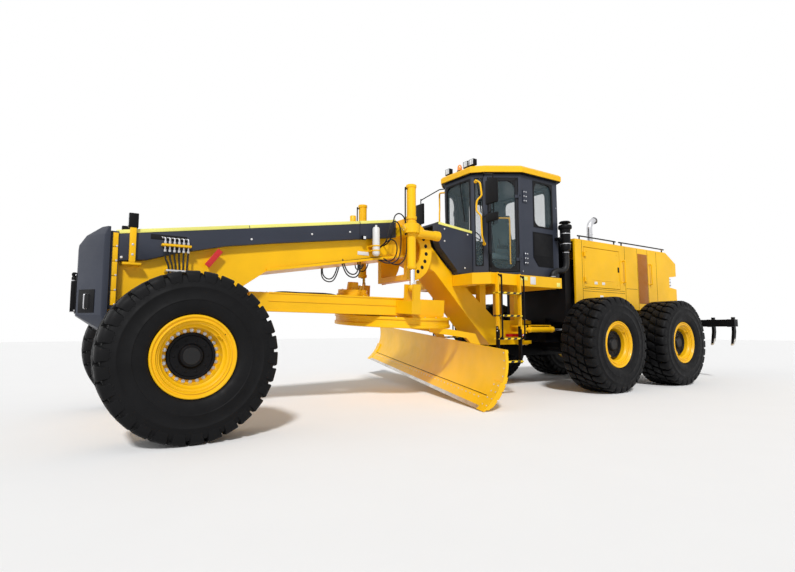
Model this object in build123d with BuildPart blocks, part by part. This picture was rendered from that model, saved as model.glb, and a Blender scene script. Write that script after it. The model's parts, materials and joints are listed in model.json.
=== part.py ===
from build123d import *

import os
from math import atan2, cos, pi, radians, sin, sqrt, tan

# Motor grader: articulated front and rear frames, tandem drive, circle-mounted blade and ripper.
#
# Millimetres. +X is forward, +Y the machine's left, +Z up. The origin is on the ground, on the
# centreline, below the articulation pivot. Every sub-part is one file in parts/.

os.makedirs("parts", exist_ok=True)

LEFT, RIGHT = 1, -1
SIDES = (("left", LEFT), ("right", RIGHT))
FIT = 0.3            # running gap between pieces that seat in each other
CLEAR = 12           # gap beside a panel that moves

# ---- wheels -------------------------------------------------------------------------
TYRE_R = 945
TYRE_HALF = 375
TREAD_HALF = 335
BEAD_HALF = 300
SHOULDER_R = 880
SHOULDER_TAPER = 70.0
BEAD_MOUTH_R = 520
BEAD_SIDES = 15
LUG_COUNT = 30
LUG_ROOT_R = 893
LUG_TIP = 0.31       # half a lug's top, as a share of the pitch
LUG_FOOT = 0.36
RIM_SIDES = 18
GUTTER_R = 325
GUTTER_MOUTH_R = 400
GUTTER_DEEP = 110
RIM_SEAT_R = 372
RIM_WALL = 16
FLANGE_R = 457
FLANGE_T = 26
DISC_HALF = 55
HUB_BORE_R = 130
TRACK_HALF = 1600
AXLE_Z = TYRE_R
FRONT_AXLE_X = 7300
MID_AXLE_X = -600
REAR_AXLE_X = -3100
TANDEM_X = (MID_AXLE_X + REAR_AXLE_X) / 2

# ---- front axle ---------------------------------------------------------------------
LEAN_Y = 900
LEAN_Z = AXLE_Z - 190
LEAN_PIN_R = 45
KINGPIN_Y = 1150
KINGPIN_R = 50
YOKE_HALF = 170
SPINDLE_R = 108
AXLE_BEAM_HALF_X = 150
AXLE_BEAM_TOP = 1180
AXLE_BEAM_BOTTOM = 620

# ---- front frame --------------------------------------------------------------------
BEAM_HALF = 380
NECK_HALF = 310
COVER_HALF = 480
FLANGE_HALF = 430
NOSE_BACK_X = 8060
NOSE_FRONT_X = 8300
NOSE_HALF = 550
NOSE_CHAMFER = 90
TOW_PIN_X = 8380
TOW_PIN_R = 32.5
BEAM_FRONT_TOP = 2440
BEAM_REAR_X = 3700
BEAM_REAR_TOP = 3120
LAMP_POST_X = 7810
LAMP_POST_Z = 2550
ACCUMULATOR_X = 4140
NECK_TOP = (2420, 2440)
NECK_SHOULDER_X = 3120
NECK_FOOT = (1200, 1500)
HITCH_TOP = 1430
HITCH_BOTTOM = 930
HITCH_PLATE = 70
HITCH_R = 190
HINGE_PIN_R = 70
HITCH_BACK_X = 300

# ---- cab ----------------------------------------------------------------------------
DECK_Z = 2280
DECK_T = 210
DECK_HALF = 1130
DECK_FRONT_X = 2280
DECK_REAR_X = 60
CAB_HALF = 980
CAB_TOP_Z = 4350
CAB_WALL = 60
# left side of the cab in plan, from the windscreen's corner back to the rear window's
SCREEN_CORNER = (1830, 420)
DOOR_POST = (1650, 600)
REAR_POST = (1050, CAB_HALF)
TAIL_POST = (-60, CAB_HALF)
TAIL_CORNER = (-180, 700)
SCREEN_HALF = 380
QUARTER_EDGE = 45
DOOR_EDGE = 45
SIDE_GLASS = (360, 960)
ROOF_T = 140
ROOF_OVER = 80
DOOR_BOTTOM_Z = DECK_Z + 80
DOOR_TOP_Z = CAB_TOP_Z - 90
DOOR_T = 45
DOOR_FRAME = 60
HINGE_OUT = 22
HINGE_R = 16
GLASS_T = 12
SCREEN_LOW = DECK_Z + 200
SCREEN_HIGH = CAB_TOP_Z - 90
SIDE_LOW = DECK_Z + 1020

# ---- rear frame ---------------------------------------------------------------------
REAR_HALF = 420
REAR_TOP = 1480
REAR_BOTTOM = 960
REAR_FRONT_X = -260
REAR_BACK_X = -4500
TANDEM_INNER_Y = 870
TANDEM_OUTER_Y = 1180
TANDEM_R = 340
HOOD_FRONT_X = -650
HOOD_TAIL_X = -4840
HOOD_BACK_X = HOOD_TAIL_X + 340
HOOD_SLOPE_X = HOOD_TAIL_X + 480
HOOD_HALF = 950
HOOD_TOP = 3210
LAMP_BAY_Z = 2450
HOOD_BOTTOM = 1700
HOOD_WALL = 45
HOOD_BOLSTERS = (-4300, -1000)
HOOD_HANDLES = (-2420, -3560)
BULKHEAD_X = -430
BULKHEAD_T = 190
BULKHEAD_HALF = 840
HATCH_FRONT_X = -950
HATCH_BACK_X = -2300
HATCH_BOTTOM_Z = 2160
HATCH_TOP_Z = 3060
HATCH_PIN_Y = 970
EXHAUST = (-2000, 400)

# ---- drawbar, circle and blade ------------------------------------------------------
BALL_X = 6300
BALL_Z = 1680
BALL_R = 110
BALL_FIT = 1
BALL_HALF = 110
CIRCLE_X = 3250
CIRCLE_Y = -300
BLADE_ROLL = 3.8
BLADE_YAW = 16.2
DRAWBAR_T = 300
GEARBOX_AT = 950
GEARBOX_R = 260
CIRCLE_R = 1100
CIRCLE_RING = 150
RING_SIDES = 48
CIRCLE_T = 190
CIRCLE_GAP = 20
HUB_GAP = 6
SHOE = 130
SHOES = ((-330, 960), (-330, -960), (330, 960), (330, -960), (1020, 60), (1020, -60))
BLADE_LENGTH = 7000
BLADE_HEIGHT = 930
BLADE_T = 45
BLADE_SHIFT = -1150
BLADE_BACK = 780
BLADE_FACE_R = 900
BLADE_LEAN = 300
EDGE_STRIP = 190
EDGE_STRIP_T = 22
END_BIT_TALL = 430
END_BIT_WIDE = 230
RAIL_DEEP = 70
RAIL_TALL = 80
RAIL_SEAT = 1.5
LOWER_RAIL = 230
UPPER_RAIL = 700
RAIL_LENGTH = 5400
RAIL_END = 150
BRACKET_T = 60
TIP_PIN = (-520, 180)
TIP_PIN_R = 40
FOOT_R = 75
FOOT_RISE = 330
FOOT_GAP = 8
EAR_T = 45
EDGE_GROUND_GAP = 6
ARM_T = 60
ARM_SPACING = 780

# ---- lift cylinders and saddle ------------------------------------------------------
LIFT_X = 3620
LIFT_Y = 830
BARREL_R = 95
ROD_R = 45
SADDLE_X = 3380
SADDLE_HALF_X = 90
TRUNNION_Z = 2950
BARREL_TOP_Z = 3720
BARREL_BOTTOM_Z = 2260

# ---- ripper -------------------------------------------------------------------------
RIPPER_PIVOT_X = -4640
RIPPER_PIVOT_Z = 1200
RIPPER_PIN_R = 40
RIPPER_ARM_Y = 330
RIPPER_ARM_HALF = 65
RIPPER_EYE_X = -5400
RIPPER_EYE_Z = 1380
RIPPER_BEAM_X = -5600
RIPPER_BEAM_Z = 1400
RIPPER_BEAM_T = 180
SHANK_COUNT = 9
SHANK_PITCH = 465
RIPPER_BEAM_HALF = SHANK_PITCH * (SHANK_COUNT - 1) / 2 + 120
SHANK_T = 60
SHANK_TIP_Z = 835

# ---- articulation cylinders ---------------------------------------------------------
ART_Y = 560
ART_Z = 1240
ART_FRONT_X = 620
ART_REAR_X = -900
ART_BARREL_R = 65
ART_ROD_R = 32
ART_EYE_R = 70
ART_EYE_HALF = 45


def finish(builder, name):
    """Label a finished sub-part and write it as its own file."""
    builder.part.label = name
    export_step(builder.part, f"parts/{name}.step")


def xz_at(y):
    """A sketch plane with X to the right and Z up, at one Y."""
    return Plane(origin=(0, y, 0), x_dir=(1, 0, 0), z_dir=(0, -1, 0))


def prism(points, half_width):
    """A side outline in X and Z, thickened evenly either side of the centreline."""
    with BuildSketch(Plane.XZ) as outline:
        with BuildLine():
            Polyline(*points, close=True)
        make_face()
    extrude(outline.sketch, amount=half_width, both=True)


def slab(points, y_low, y_high, mode=Mode.ADD):
    """A side outline in X and Z, from one Y to another."""
    with BuildSketch(xz_at(y_high)) as outline:
        with BuildLine():
            Polyline(*points, close=True)
        make_face()
    extrude(outline.sketch, amount=y_high - y_low, mode=mode)


def block(x, y, z, mode=Mode.ADD):
    """A box given by its (low, high) pairs along X, Y and Z."""
    with Locations((sum(x) / 2, sum(y) / 2, sum(z) / 2)):
        Box(x[1] - x[0], y[1] - y[0], z[1] - z[0], mode=mode)


def rod(start, end, radius, mode=Mode.ADD):
    """A round bar from one point to another."""
    axis = Vector(*end) - Vector(*start)
    with BuildSketch(Plane(origin=start, z_dir=tuple(axis))) as section:
        Circle(radius)
    extrude(section.sketch, amount=axis.length, mode=mode)


def bar(start, end, radius, sides=12):
    """A many-sided bar from one point to another, for what neither turns nor is turned on."""
    axis = Vector(*end) - Vector(*start)
    with BuildSketch(Plane(origin=start, z_dir=tuple(axis))) as section:
        RegularPolygon(radius, sides)
    extrude(section.sketch, amount=axis.length)


def ball(centre, radius):
    """A ball end cut in flats, every edge of its cube bevelled to an even eight sides."""
    with BuildPart(mode=Mode.PRIVATE) as cube:
        Box(2 * radius, 2 * radius, 2 * radius)
        chamfer(cube.edges(), radius * (1 - tan(pi / 8)))
    with Locations(tuple(centre)):
        add(cube.part)


def tube_path(points, radius, bend, sides=8):
    """A bent rail through the points, each corner cut back by the bend's length."""
    points = [Vector(*point) for point in points]
    route = [points[0]]
    for before, corner, after in zip(points, points[1:], points[2:]):
        route.append(corner + (before - corner).normalized() * bend)
        route.append(corner + (after - corner).normalized() * bend)
    route.append(points[-1])
    with BuildLine() as path:
        Polyline(*route)
    with BuildSketch(Plane(origin=route[0], z_dir=route[1] - route[0])) as section:
        RegularPolygon(radius, sides)
    sweep(section.sketch, path=path.line, transition=Transition.RIGHT)


# ---- wheels -------------------------------------------------------------------------
def wheel_disc(low, high, radius, sides, taper=0.0, mode=Mode.ADD):
    """A many-sided disc on a wheel's own axis, from one distance out from its middle to another."""
    with BuildSketch(Plane.XY.offset(low)) as section:
        RegularPolygon(radius, sides, major_radius=False)
    extrude(section.sketch, amount=high - low, taper=taper, mode=mode)


def lug_outline():
    """Points of the tread seen from the side: one flat-topped lug in each pitch."""
    pitch = 2 * pi / LUG_COUNT
    points = []
    for index in range(LUG_COUNT):
        for share, radius in ((-LUG_FOOT, LUG_ROOT_R), (-LUG_TIP, TYRE_R), (LUG_TIP, TYRE_R),
                              (LUG_FOOT, LUG_ROOT_R)):
            angle = (index + 0.5 + share) * pitch
            reach = radius / cos(LUG_TIP * pitch)
            points.append((reach * cos(angle), reach * sin(angle)))
    return points


with BuildPart() as tyre_form:
    with BuildSketch():
        with BuildLine():
            Polyline(*lug_outline(), close=True)
        make_face()
    extrude(amount=TREAD_HALF)
    wheel_disc(TREAD_HALF, TYRE_HALF, SHOULDER_R, LUG_COUNT, SHOULDER_TAPER)
    wheel_disc(BEAD_HALF, TYRE_HALF + 1, BEAD_MOUTH_R, BEAD_SIDES, mode=Mode.SUBTRACT)
    mirror(about=Plane.XY)
    wheel_disc(-TYRE_HALF, TYRE_HALF, RIM_SEAT_R + FIT, LUG_COUNT, mode=Mode.SUBTRACT)


def rim_form(disc_at):
    """A flanged rim with its bored hub disc; disc_at is the disc's middle, outward of centre."""
    seat = RIM_SEAT_R * cos(pi / RIM_SIDES)
    flange_in = BEAD_HALF + FIT
    flange_out = flange_in + FLANGE_T
    disc_in = disc_at - DISC_HALF
    disc_out = disc_at + DISC_HALF
    with BuildPart() as form:
        wheel_disc(-flange_in, flange_in, seat, RIM_SIDES)
        wheel_disc(-flange_out, -flange_in, FLANGE_R, RIM_SIDES)
        wheel_disc(flange_in, flange_out, FLANGE_R, RIM_SIDES)
        wheel_disc(-flange_out, disc_in, seat - RIM_WALL, RIM_SIDES, mode=Mode.SUBTRACT)
        wheel_disc(disc_out, flange_out, GUTTER_R, RIM_SIDES, mode=Mode.SUBTRACT)
        wheel_disc(flange_out - GUTTER_DEEP, flange_out, GUTTER_MOUTH_R, RIM_SIDES, mode=Mode.SUBTRACT)
        rod((0, 0, disc_in), (0, 0, disc_out), HUB_BORE_R, Mode.SUBTRACT)
    return form


FRONT_DISC = 60
REAR_DISC = -20
WHEELS = (
    # name, axle X, side, disc place
    ("front_left", FRONT_AXLE_X, LEFT, FRONT_DISC),
    ("front_right", FRONT_AXLE_X, RIGHT, FRONT_DISC),
    ("mid_left", MID_AXLE_X, LEFT, REAR_DISC),
    ("mid_right", MID_AXLE_X, RIGHT, REAR_DISC),
    ("rear_left", REAR_AXLE_X, LEFT, REAR_DISC),
    ("rear_right", REAR_AXLE_X, RIGHT, REAR_DISC),
)
for wheel, axle_x, side, disc_at in WHEELS:
    middle = Plane(origin=(axle_x, side * TRACK_HALF, AXLE_Z), x_dir=(1, 0, 0), z_dir=(0, side, 0))
    for kind, form in (("tyre", tyre_form), ("rim", rim_form(disc_at))):
        with BuildPart() as piece:
            with Locations(middle):
                add(form.part)
        finish(piece, f"{kind}_{wheel}")

# ---- front axle, leaning brackets and knuckles --------------------------------------
ear_x = AXLE_BEAM_HALF_X + 20
with BuildPart() as front_axle:
    for side in (LEFT, RIGHT):
        with BuildSketch(Plane.YZ.offset(FRONT_AXLE_X - AXLE_BEAM_HALF_X)):
            with BuildLine():
                Polyline(
                    (0, AXLE_BEAM_TOP),
                    (side * 380, AXLE_BEAM_TOP - 60),
                    (side * (LEAN_Y - 60), LEAN_Z + 90),
                    (side * LEAN_Y, LEAN_Z + 90),
                    (side * LEAN_Y, LEAN_Z - 90),
                    (side * (LEAN_Y - 200), LEAN_Z - 110),
                    (side * 250, AXLE_BEAM_BOTTOM + 170),
                    (0, AXLE_BEAM_BOTTOM + 170),
                    close=True,
                )
            make_face()
        extrude(amount=2 * AXLE_BEAM_HALF_X)
        bar((FRONT_AXLE_X - AXLE_BEAM_HALF_X, side * LEAN_Y, LEAN_Z),
            (FRONT_AXLE_X + AXLE_BEAM_HALF_X, side * LEAN_Y, LEAN_Z), 90)
        rod((FRONT_AXLE_X - ear_x - 60, side * LEAN_Y, LEAN_Z),
            (FRONT_AXLE_X + ear_x + 60, side * LEAN_Y, LEAN_Z), LEAN_PIN_R)
    rod((FRONT_AXLE_X - AXLE_BEAM_HALF_X - 110, 0, AXLE_BEAM_TOP - 130),
        (FRONT_AXLE_X + AXLE_BEAM_HALF_X + 110, 0, AXLE_BEAM_TOP - 130), 80)
finish(front_axle, "front_axle")

ear_low = AXLE_BEAM_HALF_X + 5
WEB_T = 50
web_out = KINGPIN_Y - 80
for name, side in SIDES:
    with BuildPart() as bracket:
        for x0 in (FRONT_AXLE_X + ear_low, FRONT_AXLE_X - ear_low - WEB_T):
            with BuildSketch(Plane.YZ.offset(x0)) as ear:
                with BuildLine():
                    Polyline(
                        (side * (LEAN_Y - 70), LEAN_Z - 60),
                        (side * (LEAN_Y - 70), LEAN_Z + 60),
                        (side * web_out, AXLE_Z + 60),
                        (side * web_out, LEAN_Z - 60),
                        close=True,
                    )
                make_face()
                with Locations((side * LEAN_Y, LEAN_Z)):
                    Circle(LEAN_PIN_R + FIT, mode=Mode.SUBTRACT)
            extrude(ear.sketch, amount=WEB_T)
        x = (FRONT_AXLE_X - ear_low - WEB_T, FRONT_AXLE_X + ear_low + WEB_T)
        block(x, sorted((side * (web_out - WEB_T), side * web_out)), (LEAN_Z - 60, AXLE_Z + YOKE_HALF))
        for z in (AXLE_Z + YOKE_HALF - WEB_T, AXLE_Z - YOKE_HALF):
            y = sorted((side * (web_out - 10), side * (KINGPIN_Y + 60)))
            block((FRONT_AXLE_X - 90, FRONT_AXLE_X + 90), y, (z, z + WEB_T))
        rod((FRONT_AXLE_X, side * KINGPIN_Y, AXLE_Z - YOKE_HALF),
            (FRONT_AXLE_X, side * KINGPIN_Y, AXLE_Z + YOKE_HALF), KINGPIN_R)
    finish(bracket, f"lean_bracket_{name}")

    disc_in = side * (TRACK_HALF + FRONT_DISC - DISC_HALF)
    disc_out = side * (TRACK_HALF + FRONT_DISC + DISC_HALF)
    with BuildPart() as knuckle:
        bar((FRONT_AXLE_X, side * KINGPIN_Y, AXLE_Z - YOKE_HALF + 55),
            (FRONT_AXLE_X, side * KINGPIN_Y, AXLE_Z + YOKE_HALF - 55), 76)
        bar((FRONT_AXLE_X, side * (KINGPIN_Y + 60), AXLE_Z),
            (FRONT_AXLE_X, side * (KINGPIN_Y + 155), AXLE_Z), SPINDLE_R)
        rod((FRONT_AXLE_X, side * (KINGPIN_Y + 155), AXLE_Z),
            (FRONT_AXLE_X, disc_out, AXLE_Z), HUB_BORE_R - 2 * FIT)
        bar((FRONT_AXLE_X, side * (KINGPIN_Y + 150), AXLE_Z),
            (FRONT_AXLE_X, disc_in - side * 5, AXLE_Z), 230)
        rod((FRONT_AXLE_X, side * KINGPIN_Y, AXLE_Z - YOKE_HALF),
            (FRONT_AXLE_X, side * KINGPIN_Y, AXLE_Z + YOKE_HALF), KINGPIN_R + FIT, Mode.SUBTRACT)
    finish(knuckle, f"knuckle_{name}")

# ---- front frame: nose bolster, raised beam, gooseneck and hitch --------------------
with BuildPart() as front_frame:
    prism(
        (
            (3300, BEAM_REAR_TOP),
            (NECK_SHOULDER_X, BEAM_REAR_TOP),
            NECK_TOP,
            NECK_FOOT,
            (900, HITCH_TOP),
            (HITCH_BACK_X, HITCH_TOP),
            (HITCH_BACK_X, HITCH_BOTTOM),
            (1300, HITCH_BOTTOM),
            (1640, 1230),
            (2720, 2330),
            (3300, 2560),
        ),
        NECK_HALF,
    )
    prism(
        (
            (NOSE_BACK_X, BEAM_FRONT_TOP),
            (BEAM_REAR_X, BEAM_REAR_TOP),
            (NECK_SHOULDER_X, BEAM_REAR_TOP),
            (2900, 2800),
            (3300, 2560),
            (6000, 2110),
            (6900, 1480),
            (NOSE_BACK_X, 1400),
        ),
        BEAM_HALF,
    )
    for side in (LEFT, RIGHT):
        slab(((3480, 2530), (6000, 2110), (6000, 2150), (3480, 2570)),
             *sorted((side * BEAM_HALF, side * FLANGE_HALF)))
    for z in (HITCH_BOTTOM, HITCH_TOP - HITCH_PLATE):
        block((0, HITCH_BACK_X), (-HITCH_R, HITCH_R), (z, z + HITCH_PLATE))
        with Locations((0, 0, z + HITCH_PLATE / 2)):
            Cylinder(HITCH_R, HITCH_PLATE)
    rod((0, 0, HITCH_BOTTOM), (0, 0, HITCH_TOP), HINGE_PIN_R)
    for x in (FRONT_AXLE_X - AXLE_BEAM_HALF_X - 90, FRONT_AXLE_X + AXLE_BEAM_HALF_X + 30):
        block((x, x + 60), (-160, 160), (AXLE_BEAM_TOP - 270, 1500))
        rod((x, 0, AXLE_BEAM_TOP - 130), (x + 60, 0, AXLE_BEAM_TOP - 130), 80 + FIT, Mode.SUBTRACT)
    for side in (LEFT, RIGHT):
        for z in (ART_Z - ART_EYE_HALF - FIT - 40, ART_Z + ART_EYE_HALF + FIT):
            y = sorted((side * (NECK_HALF - 60), side * (ART_Y + 60)))
            block((ART_FRONT_X - 60, ART_FRONT_X + 90), y, (z, z + 40))
        rod((ART_FRONT_X, side * ART_Y, ART_Z - 60), (ART_FRONT_X, side * ART_Y, ART_Z + 60), 30)
    block((BALL_X + BALL_R + 90, BALL_X + 700), (-150, 150), (BALL_Z - 90, 1900))
    bar((BALL_X, 0, BALL_Z), (BALL_X + BALL_R + 200, 0, BALL_Z), 60)
    rod((BALL_X, -BALL_HALF, BALL_Z), (BALL_X, BALL_HALF, BALL_Z), BALL_R)
finish(front_frame, "front_frame")

with BuildPart() as nose:
    with BuildSketch(Plane.XZ):
        with BuildLine():
            Polyline(
                (NOSE_BACK_X, 2540),
                (NOSE_FRONT_X - 170, 2500),
                (NOSE_FRONT_X, 2350),
                (NOSE_FRONT_X, 1400),
                (NOSE_BACK_X, 1230),
                close=True,
            )
        make_face()
    extrude(amount=NOSE_HALF, both=True)
    chamfer(nose.edges().filter_by(Axis.Z).group_by(Axis.X)[-1], NOSE_CHAMFER)
    for z in (1500, 1760):
        block((NOSE_FRONT_X, NOSE_FRONT_X + 150), (-120, 120), (z, z + 80))
    rod((TOW_PIN_X, 0, 1499), (TOW_PIN_X, 0, 1841), TOW_PIN_R, Mode.SUBTRACT)
finish(nose, "nose_block")

def neck_top(x):
    """Height of the gooseneck's upper face."""
    line = (NECK_FOOT, NECK_TOP) if x < NECK_TOP[0] else (NECK_TOP, (NECK_SHOULDER_X, BEAM_REAR_TOP))
    (x_low, z_low), (x_high, z_high) = line
    return max(HITCH_TOP, z_low + (z_high - z_low) * (x - x_low) / (x_high - x_low))


NECK_PANEL = ((1900, 3160), (2750, 3250), (2750, 2880), (2680, 2740), (2290, 2370), (2290, 2300),
              (1900, 2300))
with BuildPart() as covers:
    for side in (LEFT, RIGHT):
        slab(
            (
                (NOSE_BACK_X - 60, 2080),
                (NOSE_BACK_X - 60, 2500),
                (BEAM_REAR_X, 3165),
                (BEAM_REAR_X, 2850),
                (6300, 2400),
                (7000, 2160),
            ),
            *sorted((side * BEAM_HALF, side * COVER_HALF)),
        )
        slab(NECK_PANEL, *sorted((side * NECK_HALF, side * COVER_HALF)))
        post_y = sorted((side * (COVER_HALF - 10), side * (COVER_HALF + 45)))
        block((LAMP_POST_X - 35, LAMP_POST_X + 35), post_y, (2100, LAMP_POST_Z))
        block((LAMP_POST_X - 55, LAMP_POST_X + 55),
              sorted((side * (COVER_HALF - 60), side * (COVER_HALF + 50))),
              (LAMP_POST_Z, LAMP_POST_Z + 190))
    bar((ACCUMULATOR_X, COVER_HALF + 45, 2480), (ACCUMULATOR_X, COVER_HALF + 45, 2990), 60)
    slab(((1900, 3110), (1900, 3160), (2750, 3250), (2750, 3200)), -NECK_HALF, NECK_HALF)
    slab(((2700, neck_top(2700)), (2700, 3200), (2750, 3205), (2750, neck_top(2750))),
         -NECK_HALF, NECK_HALF)
finish(covers, "beam_covers")

with BuildPart() as saddle:
    for side in (LEFT, RIGHT):
        y = sorted((side * BEAM_HALF, side * (BEAM_HALF + 110)))
        block((SADDLE_X - SADDLE_HALF_X, SADDLE_X + SADDLE_HALF_X), y, (2200, 3200))
        y = sorted((side * BEAM_HALF, side * (LIFT_Y - BARREL_R - 30)))
        block((SADDLE_X - SADDLE_HALF_X, LIFT_X + 60), y, (TRUNNION_Z - 80, TRUNNION_Z + 80))
        bar((LIFT_X, side * LIFT_Y, TRUNNION_Z - 80), (LIFT_X, side * LIFT_Y, TRUNNION_Z + 80), BARREL_R + 45)
    block((SADDLE_X - SADDLE_HALF_X, SADDLE_X + SADDLE_HALF_X),
          (-BEAM_HALF - 110, BEAM_HALF + 110), (3130, 3230))
    block((SADDLE_X - SADDLE_HALF_X, SADDLE_X + SADDLE_HALF_X),
          (-BEAM_HALF - 110, BEAM_HALF + 110), (2120, 2220))
    for side in (LEFT, RIGHT):
        rod((LIFT_X, side * LIFT_Y, TRUNNION_Z - 90), (LIFT_X, side * LIFT_Y, TRUNNION_Z + 90),
            BARREL_R + FIT, Mode.SUBTRACT)
finish(saddle, "blade_saddle")

with BuildPart() as barrels:
    for side in (LEFT, RIGHT):
        bar((LIFT_X, side * LIFT_Y, BARREL_BOTTOM_Z), (LIFT_X, side * LIFT_Y, BARREL_TOP_Z), BARREL_R)
        rod((LIFT_X, side * LIFT_Y, BARREL_BOTTOM_Z - 1),
            (LIFT_X, side * LIFT_Y, BARREL_TOP_Z - 60), ROD_R + FIT, Mode.SUBTRACT)
finish(barrels, "lift_barrels")


# ---- drawbar, circle and blade: one plane rolled with the blade ---------------------
def cross(a, b):
    return (a[1] * b[2] - a[2] * b[1], a[2] * b[0] - a[0] * b[2], a[0] * b[1] - a[1] * b[0])


swing = atan2(-CIRCLE_Y, BALL_X - CIRCLE_X)
roll = radians(BLADE_ROLL)
bar_x = (cos(swing), sin(swing), 0)
bar_y = (-sin(swing) * cos(roll), cos(swing) * cos(roll), -sin(roll))
bar_z = cross(bar_x, bar_y)
BAR_LENGTH = sqrt((BALL_X - CIRCLE_X) ** 2 + CIRCLE_Y**2)
bar_plane = Plane(origin=(CIRCLE_X, CIRCLE_Y, BALL_Z), x_dir=bar_x, z_dir=bar_z)


def bar_point(x, y, z):
    """A point of the drawbar's plane, from the circle's centre, in the machine's frame."""
    return bar_plane.from_local_coords((x, y, z))


circle_top = -DRAWBAR_T / 2 - CIRCLE_GAP
drawbar_rear = -500
lift_points = [bar_plane.to_local_coords(Vector(LIFT_X, side * LIFT_Y, BALL_Z)) for _, side in SIDES]
with BuildPart(bar_plane) as drawbar:
    with BuildSketch(bar_plane.offset(-DRAWBAR_T / 2)):
        with BuildLine():
            Polyline(
                (BAR_LENGTH - 130, 110),
                (BAR_LENGTH - 400, 170),
                (300, 880),
                (drawbar_rear, 880),
                (drawbar_rear, -880),
                (300, -880),
                (BAR_LENGTH - 400, -170),
                (BAR_LENGTH - 130, -110),
                close=True,
            )
        make_face()
        with BuildLine():
            Polyline(
                (BAR_LENGTH - 900, 70),
                (250, 640),
                (250, -640),
                (BAR_LENGTH - 900, -70),
                close=True,
            )
        make_face(mode=Mode.SUBTRACT)
    extrude(amount=DRAWBAR_T)
    with Locations((900, 0, 0)):
        Box(700, 1000, DRAWBAR_T - 60)
    bar(bar_point(GEARBOX_AT, 0, DRAWBAR_T / 2 - 120), bar_point(GEARBOX_AT, 0, DRAWBAR_T / 2 + 120),
        GEARBOX_R)
    bar(bar_point(GEARBOX_AT, 0, DRAWBAR_T / 2 + 119), bar_point(GEARBOX_AT, 0, DRAWBAR_T / 2 + 260),
        GEARBOX_R / 3, 8)
    hub_t = CIRCLE_GAP + CIRCLE_T - CLEAR
    with Locations((0, 0, -DRAWBAR_T / 2 - hub_t / 2)):
        Cylinder(CIRCLE_R - CIRCLE_RING - HUB_GAP, hub_t)
    shoe_t = CIRCLE_GAP - FIT
    for x, y in SHOES:
        with Locations((x, y, -DRAWBAR_T / 2 - shoe_t / 2)):
            Box(SHOE, SHOE, shoe_t)
    for foot, (_, side) in zip(lift_points, SIDES):
        inner = side * 800
        outer = foot.Y + side * (FOOT_R + FOOT_GAP + EAR_T)
        low, high = sorted((min(inner, outer, key=abs), max(inner, outer, key=abs)))
        if abs(outer) > abs(inner):
            with Locations((foot.X, (low + high) / 2, 0)):
                Box(2 * FOOT_R + 60, high - low, DRAWBAR_T - 80)
        else:
            with Locations((foot.X, foot.Y, 0)):
                Box(2 * FOOT_R + 60, 2 * (FOOT_R + FOOT_GAP + EAR_T), DRAWBAR_T - 80)
        for ear in (1, -1):
            with Locations((foot.X, foot.Y + ear * (FOOT_R + FOOT_GAP + EAR_T / 2), FOOT_RISE / 2)):
                Box(2 * FOOT_R, EAR_T, FOOT_RISE + 2 * FOOT_R - 30)
    bar((BALL_X, 20 - BALL_HALF, BALL_Z), (BALL_X, BALL_HALF - 20, BALL_Z), BALL_R + 60)
    rod((BALL_X, -2 * BALL_HALF, BALL_Z), (BALL_X, 2 * BALL_HALF, BALL_Z), BALL_R + BALL_FIT,
        Mode.SUBTRACT)
    with Locations((BAR_LENGTH + BALL_R + 60, 0, 0)):
        Box(2 * BALL_R + 60, 4 * BALL_R, 4 * BALL_R, mode=Mode.SUBTRACT)
finish(drawbar, "drawbar")

# Blade frame: origin at the circle's centre, X ahead of the blade, Y along it to the left.
turn = -(radians(BLADE_YAW) + swing)
blade_x = tuple(cos(turn) * a + sin(turn) * b for a, b in zip(bar_x, bar_y))
blade_y = cross(bar_z, blade_x)
circle_plane = Plane(origin=(CIRCLE_X, CIRCLE_Y, BALL_Z), x_dir=blade_x, z_dir=bar_z)
left_tip = blade_y[2] * (BLADE_SHIFT + BLADE_LENGTH / 2) - blade_x[2] * BLADE_BACK
EDGE_DROP = (BALL_Z + left_tip - EDGE_GROUND_GAP) / bar_z[2]
blade_plane = Plane(origin=circle_plane.from_local_coords((-BLADE_BACK, 0, -EDGE_DROP)),
                    x_dir=blade_x, z_dir=bar_z)
ring_low = EDGE_DROP + circle_top - CIRCLE_T
chord = sqrt(BLADE_LEAN**2 + BLADE_HEIGHT**2)
reach = sqrt(BLADE_FACE_R**2 - chord**2 / 4)
face_x = -BLADE_LEAN / 2 + reach * BLADE_HEIGHT / chord
face_z = BLADE_HEIGHT / 2 + reach * BLADE_LEAN / chord


def blade_face(z):
    """The moldboard's front face, X at height z above the cutting edge."""
    return face_x - sqrt(BLADE_FACE_R**2 - (z - face_z) ** 2)


def blade_section(y):
    """A plane across the blade at one Y, with X ahead and height above the edge as its Y."""
    origin = blade_plane.from_local_coords((0, y, 0))
    return Plane(origin=origin, x_dir=blade_x, z_dir=tuple(-v for v in blade_y))


def blade_plate(points, y_low, y_high, mode=Mode.ADD):
    with BuildSketch(blade_section(y_high)) as outline:
        with BuildLine():
            Polyline(*points, close=True)
        make_face()
    extrude(outline.sketch, amount=y_high - y_low, mode=mode)


def blade_rod(x, z, radius, y_low, y_high, mode=Mode.ADD):
    with BuildSketch(blade_section(y_high)) as outline:
        with Locations((x, z)):
            Circle(radius)
    extrude(outline.sketch, amount=y_high - y_low, mode=mode)


arm_inner = ARM_SPACING + FIT
with BuildPart(circle_plane) as circle:
    with BuildSketch(circle_plane.offset(circle_top - CIRCLE_T)) as ring:
        RegularPolygon(CIRCLE_R, RING_SIDES)
        RegularPolygon(CIRCLE_R - CIRCLE_RING, RING_SIDES, major_radius=False, mode=Mode.SUBTRACT)
    extrude(ring.sketch, amount=CIRCLE_T)
finish(circle, "circle")

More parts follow.
